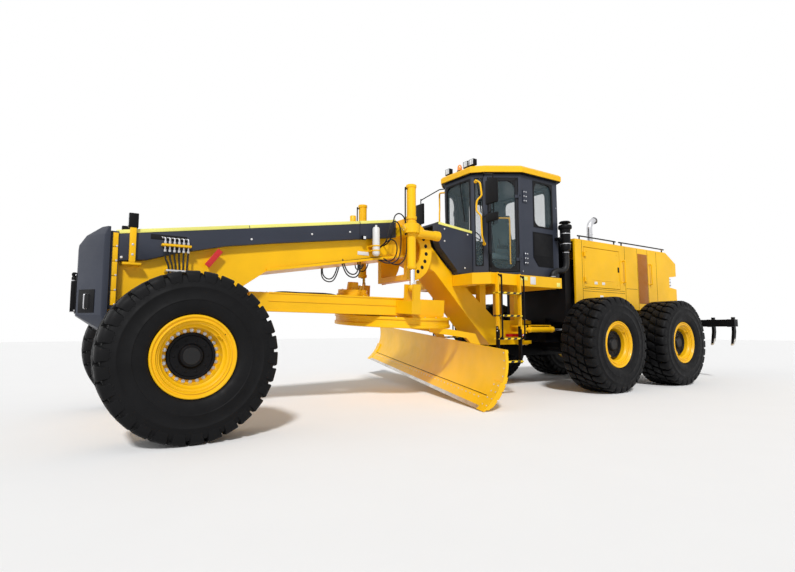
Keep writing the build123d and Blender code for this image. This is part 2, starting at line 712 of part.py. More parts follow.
with BuildPart() as circle_arms:
    for side in (LEFT, RIGHT):
        y = sorted((side * arm_inner, side * (arm_inner + ARM_T)))
        blade_plate(
            ((330, ring_low - FIT), (330, ring_low - 70), (-380, 1000), (-500, 880), (-480, 110),
             (-580, 100), (-660, 200), (-690, 850), (-560, 1080), (-20, ring_low - FIT)),
            *y,
        )
        pin = sorted((side * (ARM_SPACING - BRACKET_T), side * (arm_inner + ARM_T)))
        blade_rod(*TIP_PIN, TIP_PIN_R, *pin)
finish(circle_arms, "circle_arms")

lower_back = blade_face(LOWER_RAIL) - BLADE_T - RAIL_DEEP
upper_back = blade_face(UPPER_RAIL) - BLADE_T - RAIL_DEEP
with BuildPart() as tip_brackets:
    for side in (LEFT, RIGHT):
        y = sorted((side * (ARM_SPACING - BRACKET_T), side * ARM_SPACING))
        blade_plate(
            ((-215, 140), (-262, 230), (-312, 330), (-352, 450), (-390, 600), (-390, 800),
             (-560, 830), (-640, 700), (-590, 180), (-420, 90)),
            *y,
        )
        for back, z in ((lower_back, LOWER_RAIL), (upper_back, UPPER_RAIL)):
            half = RAIL_TALL / 2 + FIT
            blade_plate(((back - FIT, z - half), (back - FIT, z + half), (0, z + half), (0, z - half)),
                        *y, mode=Mode.SUBTRACT)
        blade_rod(*TIP_PIN, TIP_PIN_R + FIT, *y, mode=Mode.SUBTRACT)
    blade_plate(((-600, 420), (-540, 420), (-540, 480), (-600, 480)),
                BRACKET_T - ARM_SPACING, ARM_SPACING - BRACKET_T)
finish(tip_brackets, "tip_brackets")

blade_left = BLADE_SHIFT + BLADE_LENGTH / 2
with BuildPart() as moldboard:
    with BuildSketch(blade_section(blade_left)) as outline:
        with BuildLine():
            middle = BLADE_HEIGHT / 2
            ThreePointArc((0, 0), (blade_face(middle), middle), (-BLADE_LEAN, BLADE_HEIGHT))
            Line((-BLADE_LEAN, BLADE_HEIGHT), (-BLADE_LEAN - BLADE_T, BLADE_HEIGHT))
            ThreePointArc((-BLADE_LEAN - BLADE_T, BLADE_HEIGHT),
                          (blade_face(middle) - BLADE_T, middle), (-BLADE_T, 0))
            Line((-BLADE_T, 0), (0, 0))
        make_face()
        with BuildLine():
            strip_top = blade_face(EDGE_STRIP)
            Polyline((-EDGE_STRIP_T, 0), (EDGE_STRIP_T, 0), (strip_top + EDGE_STRIP_T, EDGE_STRIP),
                     (strip_top - EDGE_STRIP_T, EDGE_STRIP), close=True)
        make_face()
    extrude(outline.sketch, amount=BLADE_LENGTH)
    end_top = blade_face(END_BIT_TALL)
    for low in (blade_left - BLADE_LENGTH, blade_left - END_BIT_WIDE):
        blade_plate(((-EDGE_STRIP_T, 0), (2 * EDGE_STRIP_T, 0), (end_top + EDGE_STRIP_T, END_BIT_TALL),
                     (end_top - EDGE_STRIP_T, END_BIT_TALL)), low, low + END_BIT_WIDE)
finish(moldboard, "moldboard")

with BuildPart() as blade_rails:
    half = RAIL_TALL / 2
    for back, z in ((lower_back, LOWER_RAIL), (upper_back, UPPER_RAIL)):
        low, high = (blade_face(z + end) - BLADE_T - RAIL_SEAT for end in (-half, half))
        blade_plate(((back, z - half), (back, z + half), (high, z + half), (low, z - half)),
                    blade_left - RAIL_LENGTH - RAIL_END, blade_left - RAIL_END)
finish(blade_rails, "blade_rails")

for foot, (name, side) in zip(lift_points, SIDES):
    eye = bar_point(foot.X, foot.Y, FOOT_RISE)
    with BuildPart() as lift_rod:
        rod((LIFT_X, side * LIFT_Y, eye.Z + 20), (LIFT_X, side * LIFT_Y, TRUNNION_Z), ROD_R)
        ball(eye, FOOT_R)
    finish(lift_rod, f"lift_rod_{name}")

# ---- articulation cylinders ---------------------------------------------------------
for name, side in SIDES:
    y = side * ART_Y
    with BuildPart() as barrel:
        bar((ART_FRONT_X - 60, y, ART_Z), (ART_FRONT_X - 210, y, ART_Z), ART_EYE_HALF - 4)
        bar((ART_FRONT_X - 200, y, ART_Z), (-330, y, ART_Z), ART_BARREL_R)
        bar((ART_FRONT_X, y, ART_Z - ART_EYE_HALF), (ART_FRONT_X, y, ART_Z + ART_EYE_HALF), ART_EYE_R)
        rod((-331, y, ART_Z), (ART_FRONT_X - 230, y, ART_Z), ART_ROD_R + FIT, Mode.SUBTRACT)
        rod((ART_FRONT_X, y, ART_Z - 46), (ART_FRONT_X, y, ART_Z + 46), 30 + FIT, Mode.SUBTRACT)
    finish(barrel, f"articulation_barrel_{name}")
    with BuildPart() as art_rod:
        rod((ART_REAR_X + 30, y, ART_Z), (0, y, ART_Z), ART_ROD_R)
        bar((ART_REAR_X, y, ART_Z - 40), (ART_REAR_X, y, ART_Z + 40), ART_EYE_R - 10)
    finish(art_rod, f"articulation_rod_{name}")


# ---- cab: platform, frame, roof, glass and doors ------------------------------------
def half_plan(grow):
    """The left half of the cab in plan, grown outward by a distance."""
    with BuildSketch(mode=Mode.PRIVATE) as plan:
        with BuildLine():
            Polyline((TAIL_CORNER[0], -TAIL_CORNER[1]), TAIL_CORNER, TAIL_POST, REAR_POST, DOOR_POST,
                     SCREEN_CORNER, (SCREEN_CORNER[0], -TAIL_CORNER[1]), close=True)
        make_face()
        offset(amount=grow, kind=Kind.INTERSECTION)
        with Locations((0, -CAB_HALF)):
            Rectangle(3 * CAB_HALF * 2, 2 * CAB_HALF, mode=Mode.SUBTRACT)
    return plan.sketch


def cab_half(grow, z_low, z_high, mode=Mode.ADD):
    extrude(Plane.XY.offset(z_low) * half_plan(grow), amount=z_high - z_low, mode=mode)


def panel(front, rear):
    """A left cab panel's outer face: X back along it from its front edge, Y up, Z outward."""
    along = Vector(rear[0] - front[0], rear[1] - front[1], 0)
    return Plane(origin=(*front, 0), x_dir=tuple(along), z_dir=(along.Y, -along.X, 0))


def board(face, along, z, depth, mode=Mode.ADD):
    """A flat board on a panel: (start, end) along it, (low, high) in Z and (inner, outer) in depth."""
    with BuildSketch(face.offset(depth[0])) as outline:
        with Locations((sum(along) / 2, sum(z) / 2)):
            Rectangle(along[1] - along[0], z[1] - z[0])
    extrude(outline.sketch, amount=depth[1] - depth[0], mode=mode)


quarter = panel(SCREEN_CORNER, DOOR_POST)
door_face = panel(DOOR_POST, REAR_POST)
side_face = panel(REAR_POST, TAIL_POST)
quarter_length = sqrt((SCREEN_CORNER[0] - DOOR_POST[0])**2 + (SCREEN_CORNER[1] - DOOR_POST[1])**2)
door_length = sqrt((DOOR_POST[0] - REAR_POST[0])**2 + (DOOR_POST[1] - REAR_POST[1])**2)
door_span = (DOOR_EDGE, door_length - DOOR_EDGE)
quarter_span = (QUARTER_EDGE, quarter_length - QUARTER_EDGE)
GLASS_SINK = (-CAB_WALL / 2, GLASS_T - CAB_WALL / 2)


DOOR_HINGES = (DOOR_BOTTOM_Z + 220, DOOR_TOP_Z - 420)
HINGE_TALL = 120


def door_pin(z):
    """The door hinge's axis at one height."""
    return door_face.from_local_coords((door_span[1] - CLEAR / 2, z, HINGE_OUT))


with BuildPart() as platform:
    with BuildSketch(Plane.XY.offset(DECK_Z - DECK_T)) as deck:
        with BuildLine():
            Polyline((DECK_REAR_X, -DECK_HALF), (DECK_REAR_X, DECK_HALF), (DECK_FRONT_X - 220, DECK_HALF),
                     (DECK_FRONT_X, DECK_HALF - 260), (DECK_FRONT_X, 260 - DECK_HALF),
                     (DECK_FRONT_X - 220, -DECK_HALF), close=True)
        make_face()
    extrude(deck.sketch, amount=DECK_T)
    block((DECK_REAR_X + 60, DECK_FRONT_X - 280), (60 - DECK_HALF, DECK_HALF - 60),
          (DECK_Z - DECK_T - 1, DECK_Z - 30), Mode.SUBTRACT)
    block((1780, DECK_FRONT_X + 1), (-NECK_HALF - CLEAR, NECK_HALF + CLEAR),
          (DECK_Z - DECK_T - 1, DECK_Z + 1), Mode.SUBTRACT)
    for side in (LEFT, RIGHT):
        for x in (420, 1400):
            y = sorted((side * (NECK_HALF - 120), side * NECK_HALF))
            slab(((x, neck_top(x)), (x + 160, neck_top(x + 160)), (x + 160, DECK_Z - 30), (x, DECK_Z - 30)),
                 *y)
finish(platform, "cab_platform")

with BuildPart() as cab:
    cab_half(0, DECK_Z, CAB_TOP_Z)
    cab_half(-CAB_WALL, DECK_Z + CAB_WALL, CAB_TOP_Z - 40, Mode.SUBTRACT)
    through = (-CAB_WALL - 40, 5)
    board(quarter, quarter_span, (SCREEN_LOW, SCREEN_HIGH), through, Mode.SUBTRACT)
    board(door_face, door_span, (DOOR_BOTTOM_Z, DOOR_TOP_Z), through, Mode.SUBTRACT)
    board(side_face, SIDE_GLASS, (SIDE_LOW, SCREEN_HIGH), through, Mode.SUBTRACT)
    block((SCREEN_CORNER[0] - CAB_WALL - 5, SCREEN_CORNER[0] + 5), (-1, SCREEN_HALF),
          (SCREEN_LOW, SCREEN_HIGH), Mode.SUBTRACT)
    block((TAIL_CORNER[0] - 5, TAIL_CORNER[0] + CAB_WALL + 5), (-1, TAIL_CORNER[1] - 80),
          (SIDE_LOW, SCREEN_HIGH), Mode.SUBTRACT)
    for z in DOOR_HINGES:
        board(door_face, (door_span[1], door_length + 4), (z + HINGE_TALL / 2 + FIT, z + HINGE_TALL),
              (-4, HINGE_OUT))
        rod(tuple(door_pin(z + HINGE_TALL / 2 + FIT)), tuple(door_pin(z + HINGE_TALL)), HINGE_R)
    mirror(about=Plane.XZ)
finish(cab, "cab_frame")

with BuildPart() as roof:
    cab_half(ROOF_OVER, CAB_TOP_Z, CAB_TOP_Z + ROOF_T)
    mirror(about=Plane.XZ)
    chamfer(roof.faces().sort_by(Axis.Z)[-1].edges(), 40)
finish(roof, "cab_roof")

with BuildPart() as glass:
    block((SCREEN_CORNER[0] - CAB_WALL / 2, SCREEN_CORNER[0] - CAB_WALL / 2 + GLASS_T),
          (-SCREEN_HALF, SCREEN_HALF), (SCREEN_LOW, SCREEN_HIGH))
    block((TAIL_CORNER[0] + CAB_WALL / 2, TAIL_CORNER[0] + CAB_WALL / 2 + GLASS_T),
          (80 - TAIL_CORNER[1], TAIL_CORNER[1] - 80), (SIDE_LOW, SCREEN_HIGH))
    board(quarter, quarter_span, (SCREEN_LOW, SCREEN_HIGH), GLASS_SINK)
    board(side_face, SIDE_GLASS, (SIDE_LOW, SCREEN_HIGH), GLASS_SINK)
    mirror(about=Plane.XZ)
finish(glass, "cab_glass")

with BuildPart() as door_left:
    span = (door_span[0] + CLEAR, door_span[1] - CLEAR)
    z = (DOOR_BOTTOM_Z + CLEAR, DOOR_TOP_Z - CLEAR)
    pane_span = (span[0] + DOOR_FRAME, span[1] - DOOR_FRAME)
    pane_z = (z[0] + DOOR_FRAME, z[1] - DOOR_FRAME)
    board(door_face, span, z, (-DOOR_T, 0))
    board(door_face, pane_span, pane_z, (-DOOR_T - 1, 1), Mode.SUBTRACT)
    for hinge_z in DOOR_HINGES:
        board(door_face, (span[1] - 60, span[1] - 4), (hinge_z, hinge_z + HINGE_TALL / 2), (-4, HINGE_OUT))
        rod(tuple(door_pin(hinge_z)), tuple(door_pin(hinge_z + HINGE_TALL / 2)), HINGE_R)
finish(door_left, "cab_door_left")

with BuildPart() as door_right:
    mirror(door_left.part, about=Plane.XZ)
finish(door_right, "cab_door_right")

with BuildPart() as pane_left:
    board(door_face, pane_span, pane_z, GLASS_SINK)
finish(pane_left, "door_glass_left")

with BuildPart() as pane_right:
    mirror(pane_left.part, about=Plane.XZ)
finish(pane_right, "door_glass_right")

with BuildPart() as seat:
    block((560, 1100), (-260, 260), (DECK_Z + 420, DECK_Z + 560))
    block((480, 600), (-250, 250), (DECK_Z + 560, DECK_Z + 1250))
    block((700, 980), (-150, 150), (DECK_Z + CAB_WALL, DECK_Z + 420))
    block((1500, 1700), (-120, 120), (DECK_Z + CAB_WALL, DECK_Z + 900))
    bar((1450, 0, DECK_Z + 860), (1400, 0, DECK_Z + 930), 190)
finish(seat, "operator_station")

LADDERS = (
    # side, rear edge
    (LEFT, 1350),
    (RIGHT, 900),
)
LADDER_WIDE = 580
LADDER_RAIL = (1060, 2240)
LADDER_RUNGS = (630, 1050, 1470, 1890)
with BuildPart() as ladders:
    for side, rear in LADDERS:
        for x in (rear, rear + LADDER_WIDE):
            y = sorted((side * DECK_HALF, side * (DECK_HALF + 90)))
            block((x, x + 30), y, (LADDER_RUNGS[0] - 20, DECK_Z))
            tube_path([(x + 15, side * (DECK_HALF + out), z) for out, z in
                       ((85, LADDER_RAIL[0]), (150, LADDER_RAIL[0] + 60), (150, LADDER_RAIL[1] - 60),
                        (85, LADDER_RAIL[1]))], 16, 30, 6)
        for z in LADDER_RUNGS:
            y = sorted((side * (DECK_HALF - 60), side * (DECK_HALF + 100)))
            block((rear, rear + LADDER_WIDE + 30), y, (z, z + 35))
finish(ladders, "ladders")

RAIL_R = 18
RAIL_POINTS = (
    # height, distance out from the quarter panel
    (4180, 0),
    (4180, 170),
    (3900, 95),
    (3600, 170),
    (2920, 110),
    (2920, 0),
)
with BuildPart() as rails:
    tube_path([tuple(quarter.from_local_coords((quarter_length - 24, z, out))) for z, out in RAIL_POINTS],
              RAIL_R, 40)
    mirror(about=Plane.XZ)
finish(rails, "cab_rails")

MIRROR_X = 1950
MIRROR_Y = 1120
MIRRORS = (
    # low, high
    (3570, 4030),
    (3230, 3390),
)
with BuildPart() as mirrors:
    arm = [tuple(quarter.from_local_coords((quarter_length - 24, 4305, out))) for out in (0, 130)]
    tube_path((*arm, (MIRROR_X, MIRROR_Y, 4130), (MIRROR_X, MIRROR_Y, 3180)), 12, 50)
    for low, high in MIRRORS:
        block((MIRROR_X + 5, MIRROR_X + 65), (MIRROR_Y - 150, MIRROR_Y + 150), (low, high))
    mirror(about=Plane.XZ)
finish(mirrors, "mirrors")

ROOF_Z = CAB_TOP_Z + ROOF_T
LAMP_X = 1790
LAMP_TALL = 170
ROOF_LAMPS = (-330, 240, 410)
BEACON_Y = 20
with BuildPart() as lamps:
    for y in ROOF_LAMPS:
        block((LAMP_X - 60, LAMP_X + 60), (y - 75, y + 75), (ROOF_Z + 30, ROOF_Z + LAMP_TALL))
        bar((LAMP_X, y, ROOF_Z), (LAMP_X, y, ROOF_Z + 40), 20, 6)
    bar((LAMP_X, BEACON_Y, ROOF_Z), (LAMP_X, BEACON_Y, ROOF_Z + LAMP_TALL), 60)
finish(lamps, "roof_lamps")

CLEANER_X = -100
CLEANER_Y = 1130
with BuildPart() as cleaner:
    for low, high, radius in ((2860, 3330, 105), (3330, 3400, 140), (3400, 3440, 60), (3440, 3480, 120)):
        bar((CLEANER_X, CLEANER_Y, low), (CLEANER_X, CLEANER_Y, high), radius)
    tube_path(((CLEANER_X, CLEANER_Y, 2900), (CLEANER_X, CLEANER_Y, 2450),
               (250, CAB_HALF + 75, 2450), (250, CAB_HALF + 75, DECK_Z + FIT)), 62, 60)
    block((CLEANER_X + 60, 60), (CAB_HALF, CLEANER_Y), (3080, 3140))
finish(cleaner, "air_cleaner")

# ---- rear frame, tandem cases and engine ---------------------------------------------
with BuildPart() as rear_frame:
    prism(((REAR_FRONT_X, REAR_TOP), (REAR_FRONT_X, REAR_BOTTOM), (REAR_BACK_X, REAR_BOTTOM),
           (REAR_BACK_X, REAR_TOP)), REAR_HALF)
    lug = (HITCH_BOTTOM + HITCH_PLATE + 5, HITCH_TOP - HITCH_PLATE - 5)
    block((REAR_FRONT_X - 10, 0), (-150, 150), lug)
    bar((0, 0, lug[0]), (0, 0, lug[1]), 150)
    rod((0, 0, lug[0]), (0, 0, lug[1]), HINGE_PIN_R + FIT, Mode.SUBTRACT)
    bar((TANDEM_X, -TANDEM_INNER_Y, AXLE_Z), (TANDEM_X, TANDEM_INNER_Y, AXLE_Z), 260)
    for side in (LEFT, RIGHT):
        for z in (ART_Z - 120, ART_Z + 60):
            y = sorted((side * REAR_HALF, side * (ART_Y + 60)))
            block((ART_REAR_X - 110, ART_REAR_X + 60), y, (z, z + 60))
    block((BULKHEAD_X - BULKHEAD_T, BULKHEAD_X), (-BULKHEAD_HALF, BULKHEAD_HALF), (1400, 3180))
    for x in HOOD_BOLSTERS:
        block((x, x + 120), (5 - HOOD_HALF, HOOD_HALF - 5), (REAR_TOP - 60, HOOD_BOTTOM))
    for y in (RIPPER_ARM_Y, -RIPPER_ARM_Y):
        for gap in (-1, 1):
            y0, y1 = sorted((y + gap * 36, y + gap * 76))
            block((RIPPER_PIVOT_X - 70, REAR_BACK_X), (y0, y1), (RIPPER_PIVOT_Z - 90, RIPPER_PIVOT_Z + 90))
        rod((RIPPER_PIVOT_X, y - 76, RIPPER_PIVOT_Z), (RIPPER_PIVOT_X, y + 76, RIPPER_PIVOT_Z), RIPPER_PIN_R)
finish(rear_frame, "rear_frame")

tandem_end = [(TANDEM_R * cos(radians(angle)), TANDEM_R * sin(radians(angle)))
              for angle in (-90, -54, -18, 18, 54, 90)]
with BuildPart() as tandem:
    for side in (LEFT, RIGHT):
        y_low, y_high = sorted((side * TANDEM_INNER_Y, side * TANDEM_OUTER_Y))
        slab([(x + way * a, AXLE_Z + b)
              for x, way, ends in ((MID_AXLE_X, 1, tandem_end), (REAR_AXLE_X, -1, tandem_end[::-1]))
              for a, b in ends], y_low, y_high)
        for x in (MID_AXLE_X, REAR_AXLE_X):
            disc_in = side * (TRACK_HALF + REAR_DISC - DISC_HALF)
            disc_out = side * (TRACK_HALF + REAR_DISC + DISC_HALF)
            bar((x, side * TANDEM_OUTER_Y, AXLE_Z), (x, disc_in - side * 5, AXLE_Z), 210)
            rod((x, side * TANDEM_OUTER_Y, AXLE_Z), (x, disc_out, AXLE_Z), HUB_BORE_R - 2 * FIT)
finish(tandem, "tandem_cases")

with BuildPart() as engine:
    block((-2900, -1100), (-450, 450), (REAR_TOP, 2850))
finish(engine, "engine")

with BuildPart() as hood:
    prism(((HOOD_FRONT_X, HOOD_BOTTOM), (HOOD_FRONT_X, HOOD_TOP), (HOOD_SLOPE_X, HOOD_TOP),
           (HOOD_TAIL_X, HOOD_TOP - 260), (HOOD_TAIL_X, LAMP_BAY_Z + 170), (HOOD_BACK_X, LAMP_BAY_Z + 130),
           (HOOD_BACK_X, LAMP_BAY_Z - 130), (HOOD_TAIL_X, LAMP_BAY_Z - 170),
           (HOOD_TAIL_X, HOOD_BOTTOM + 150), (HOOD_BACK_X, HOOD_BOTTOM)), HOOD_HALF)
    block((HOOD_BACK_X + 60, HOOD_FRONT_X + 1), (HOOD_WALL - HOOD_HALF, HOOD_HALF - HOOD_WALL),
          (HOOD_BOTTOM - 1, HOOD_TOP - HOOD_WALL), Mode.SUBTRACT)
    for side in (LEFT, RIGHT):
        y = sorted((side * (HOOD_HALF - HOOD_WALL - 5), side * (HOOD_HALF + 5)))
        block((HATCH_BACK_X, HATCH_FRONT_X), y, (HATCH_BOTTOM_Z, HATCH_TOP_Z), Mode.SUBTRACT)
        for x in HOOD_HANDLES:
            tube_path([(x, side * (HOOD_HALF + out), z) for out, z in
                       ((-5, 2340), (70, 2340), (70, 2840), (-5, 2840))], 14, 30, 6)
        tube_path([(x, side * (HOOD_HALF - 60), HOOD_TOP + up) for x, up in
                   ((-2500, -5), (-2500, 90), (HOOD_SLOPE_X + 60, 90), (HOOD_SLOPE_X + 60, -5))], 14, 30, 6)
        block((HOOD_BACK_X - 90, HOOD_BACK_X + 5), sorted((side * (HOOD_HALF - 10), side * (HOOD_HALF - 250))),
              (LAMP_BAY_Z - 90, LAMP_BAY_Z + 90))
finish(hood, "hood")

for name, side in SIDES:
    with BuildPart() as hatch:
        y = sorted((side * (HOOD_HALF - 30), side * HOOD_HALF))
        block((HATCH_BACK_X + CLEAR, HATCH_FRONT_X - CLEAR), y,
              (HATCH_BOTTOM_Z + CLEAR, HATCH_TOP_Z - CLEAR))
        for z in (HATCH_BOTTOM_Z + 120, HATCH_TOP_Z - 220):
            leaf = sorted((side * (HOOD_HALF + FIT), side * (HOOD_HALF + 2 * HINGE_OUT)))
            block((HATCH_FRONT_X - CLEAR - 40, HATCH_FRONT_X), leaf, (z, z + 100))
            block((HATCH_FRONT_X - CLEAR - 40, HATCH_FRONT_X - CLEAR),
                  sorted((side * (HOOD_HALF - 5), leaf[0 if side > 0 else 1])), (z, z + 100))
            rod((HATCH_FRONT_X, side * HATCH_PIN_Y, z), (HATCH_FRONT_X, side * HATCH_PIN_Y, z + 100), HINGE_R)
    finish(hatch, f"engine_door_{name}")

with BuildPart() as grille:
    block((HOOD_TAIL_X - 30, HOOD_TAIL_X), (-800, 800), (1900, 2260))
finish(grille, "rear_grille")

with BuildPart() as exhaust:
    bar((*EXHAUST, HOOD_TOP), (*EXHAUST, HOOD_TOP + 120), 95)
    tube_path(((*EXHAUST, HOOD_TOP + 110), (*EXHAUST, HOOD_TOP + 560),
               (EXHAUST[0] - 190, EXHAUST[1], HOOD_TOP + 700)), 70, 110, 12)
finish(exhaust, "exhaust")

with BuildPart() as ripper_arms:
    for y in (RIPPER_ARM_Y, -RIPPER_ARM_Y):
        with BuildSketch(xz_at(y + 35)) as outline:
            with BuildLine():
                Polyline((RIPPER_PIVOT_X, RIPPER_PIVOT_Z - RIPPER_ARM_HALF),
                         (RIPPER_EYE_X, RIPPER_EYE_Z - RIPPER_ARM_HALF),
                         (RIPPER_EYE_X, RIPPER_EYE_Z + RIPPER_ARM_HALF),
                         (RIPPER_PIVOT_X, RIPPER_PIVOT_Z + RIPPER_ARM_HALF), close=True)
            make_face()
            with Locations((RIPPER_PIVOT_X, RIPPER_PIVOT_Z), (RIPPER_EYE_X, RIPPER_EYE_Z)):
                RegularPolygon(RIPPER_ARM_HALF, 12)
                Circle(RIPPER_PIN_R + FIT, mode=Mode.SUBTRACT)
        extrude(outline.sketch, amount=70)
    block((RIPPER_PIVOT_X - 550, RIPPER_PIVOT_X - 450), (35 - RIPPER_ARM_Y, RIPPER_ARM_Y - 35),
          (RIPPER_PIVOT_Z, RIPPER_PIVOT_Z + 90))
finish(ripper_arms, "ripper_arms")

with BuildPart() as ripper:
    half = RIPPER_BEAM_T / 2
    block((RIPPER_BEAM_X - half, RIPPER_BEAM_X + half), (-RIPPER_BEAM_HALF, RIPPER_BEAM_HALF),
          (RIPPER_BEAM_Z - half, RIPPER_BEAM_Z + half))
    for y in (RIPPER_ARM_Y, -RIPPER_ARM_Y):
        for gap in (-1, 1):
            y0, y1 = sorted((y + gap * 36, y + gap * 76))
            block((RIPPER_BEAM_X + half - 5, RIPPER_EYE_X + 70), (y0, y1),
                  (RIPPER_EYE_Z - 70, RIPPER_EYE_Z + 70))
        rod((RIPPER_EYE_X, y - 76, RIPPER_EYE_Z), (RIPPER_EYE_X, y + 76, RIPPER_EYE_Z), RIPPER_PIN_R)
    for index in range(SHANK_COUNT):
        y = (index - (SHANK_COUNT - 1) / 2) * SHANK_PITCH
        shank_top = RIPPER_BEAM_Z + half + 60
        slab(((RIPPER_BEAM_X - half - 90, shank_top), (RIPPER_BEAM_X - half, shank_top),
              (RIPPER_BEAM_X - half, 1180), (RIPPER_BEAM_X - half + 90, SHANK_TIP_Z),
              (RIPPER_BEAM_X - half - 60, 1000), (RIPPER_BEAM_X - half - 110, 1180)),
             y - SHANK_T / 2, y + SHANK_T / 2)
finish(ripper, "ripper_beam")
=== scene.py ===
import json
from math import cos, pi, radians, sin, sqrt

import bmesh
import bpy
from mathutils import Matrix, Vector


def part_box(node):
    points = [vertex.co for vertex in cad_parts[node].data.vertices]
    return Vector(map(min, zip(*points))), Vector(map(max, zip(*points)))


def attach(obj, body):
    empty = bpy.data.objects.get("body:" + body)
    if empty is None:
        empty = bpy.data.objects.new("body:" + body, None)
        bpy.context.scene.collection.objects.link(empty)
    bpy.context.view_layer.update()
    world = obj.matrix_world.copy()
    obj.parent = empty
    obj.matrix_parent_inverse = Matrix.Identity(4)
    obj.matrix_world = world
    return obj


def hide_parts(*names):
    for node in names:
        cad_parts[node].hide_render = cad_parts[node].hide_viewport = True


# Motor grader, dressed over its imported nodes. Metres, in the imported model's own frame:
# +X forward, +Y the machine's left, +Z up, the ground at zero.

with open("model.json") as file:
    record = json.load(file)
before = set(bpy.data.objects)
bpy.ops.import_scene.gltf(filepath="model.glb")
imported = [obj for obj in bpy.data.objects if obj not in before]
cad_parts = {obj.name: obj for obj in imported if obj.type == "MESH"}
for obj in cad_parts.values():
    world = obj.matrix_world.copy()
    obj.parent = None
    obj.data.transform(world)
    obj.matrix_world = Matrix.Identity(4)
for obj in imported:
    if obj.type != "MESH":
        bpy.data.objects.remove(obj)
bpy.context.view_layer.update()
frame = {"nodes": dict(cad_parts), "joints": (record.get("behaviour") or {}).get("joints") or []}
nodes = frame["nodes"]
SIDES = (("left", 1), ("right", -1))
AHEAD, LEFT, UP = (1, 0, 0), (0, 1, 0), (0, 0, 1)


def put(name, data):
    """A new object in the scene."""
    made = bpy.data.objects.new(name, data)
    bpy.context.scene.collection.objects.link(made)
    return made


# ---- camera --------------------------------------------------------------------------
CAMERA_AT = Vector((8.499, 7.596, 1.227))
CAMERA_YAW, CAMERA_PITCH, CAMERA_ROLL = radians(-123.5), radians(5.19), radians(-0.07)
SENSOR = 36
FOCAL_SHARE = 0.6217  # focal length as a share of the sensor's width
SHIFT = (0.007, -0.0008)

camera_data = bpy.data.cameras.new("camera")
camera = put("camera", camera_data)
ahead = Vector((cos(CAMERA_YAW) * cos(CAMERA_PITCH), sin(CAMERA_YAW) * cos(CAMERA_PITCH),
    sin(CAMERA_PITCH)))
across = ahead.cross(Vector((0, 0, 1))).normalized()
upward = across.cross(ahead)
camera.matrix_world = (Matrix.Translation(CAMERA_AT)
    @ Matrix((across, upward, -ahead)).transposed().to_4x4() @ Matrix.Rotation(CAMERA_ROLL, 4, "Z"))
camera_data.sensor_width = SENSOR
camera_data.lens = FOCAL_SHARE * SENSOR
camera_data.shift_x, camera_data.shift_y = SHIFT
bpy.context.scene.camera = camera
bpy.context.scene.view_settings.view_transform = "Standard"


# ---- materials -----------------------------------------------------------------------
CLOUD_PLACES = (0.35, 0.65)  # where the noise is darkest and lightest
GLOSS_SPREAD = (0.85, 1.18)
GRAIN_DEEP = 0.002


def set_inputs(tree, node, values):
    """Sets a node's inputs, each to a number, a colour or another node's output."""
    for name, value in values.items():
        if isinstance(value, bpy.types.NodeSocket):
            tree.links.new(value, node.inputs[name])
        else:
            node.inputs[name].default_value = value


def add_node(tree, kind, values, **settings):
    """A new shader node with its settings and inputs."""
    node = tree.nodes.new("ShaderNode" + kind)
    for name, value in settings.items():
        setattr(node, name, value)
    set_inputs(tree, node, values)
    return node


def noise(tree, coords, scale, detail=4.0):
    return add_node(tree, "TexNoise", {"Scale": scale, "Detail": detail, "Vector": coords}).outputs["Fac"]


def surface(name, colour, rough, metal=0.0, cloud=0.07, cloud_scale=1.3, grain=140.0, bump=0.03, edge=0.006,
        coat=0.0, specular=0.5, stripes=None):
    """Paint, metal or rubber: clouded colour, uneven gloss, a fine grain and softened edges.

    stripes is (second colour, direction, stripes per metre) for a banded pattern."""
    material = bpy.data.materials.new(name)
    material.use_nodes = True
    tree = material.node_tree
    coords = add_node(tree, "TexCoord", {}).outputs["Object"]
    clouds = add_node(tree, "ValToRGB", {"Fac": noise(tree, coords, cloud_scale)})
    for element, place, share in zip(clouds.color_ramp.elements, CLOUD_PLACES, (1 - cloud, 1 + cloud)):
        element.position = place
        element.color = (*(min(1, c * share) for c in colour), 1)
    paint = clouds.outputs["Color"]
    if stripes:
        second, direction, per_metre = stripes
        along = add_node(tree, "VectorMath", {0: coords, 1: [c * per_metre for c in direction]},
            operation="DOT_PRODUCT").outputs["Value"]
        share = add_node(tree, "Math", {0: along}, operation="FRACT").outputs[0]
        step = add_node(tree, "Math", {0: share, 1: 0.5}, operation="GREATER_THAN").outputs[0]
        paint = add_node(tree, "Mix", {"Factor": step, "A": paint, "B": (*second, 1)},
            data_type="RGBA").outputs["Result"]
    gloss = add_node(tree, "MapRange", {"Value": noise(tree, coords, cloud_scale * 5, 6.0), "From Min": 0.3,
        "From Max": 0.7, "To Min": rough * GLOSS_SPREAD[0], "To Max": min(1, rough * GLOSS_SPREAD[1])})
    relief = add_node(tree, "Bump", {"Strength": bump, "Distance": GRAIN_DEEP,
        "Height": noise(tree, coords, grain, 3.0)})
    if edge:
        soften = add_node(tree, "Bevel", {"Radius": edge}, samples=4)
        tree.links.new(soften.outputs["Normal"], relief.inputs["Normal"])
    set_inputs(tree, tree.nodes["Principled BSDF"], {"Base Color": paint,
        "Roughness": gloss.outputs["Result"], "Metallic": metal, "Coat Weight": coat,
        "Coat Roughness": 0.12, "Specular IOR Level": specular, "Normal": relief.outputs["Normal"]})
    return material


def clear(name, colour, alpha, rough=0.03):
    """Tinted glass or a clear lens, with faint unevenness in its tint and gloss."""
    material = surface(name, colour, rough, cloud=0.04, cloud_scale=0.8, bump=0.004, edge=0, coat=0.0)
    tree = material.node_tree
    set_inputs(tree, tree.nodes["Principled BSDF"], {"Alpha": alpha, "Specular IOR Level": 0.9})
    return material


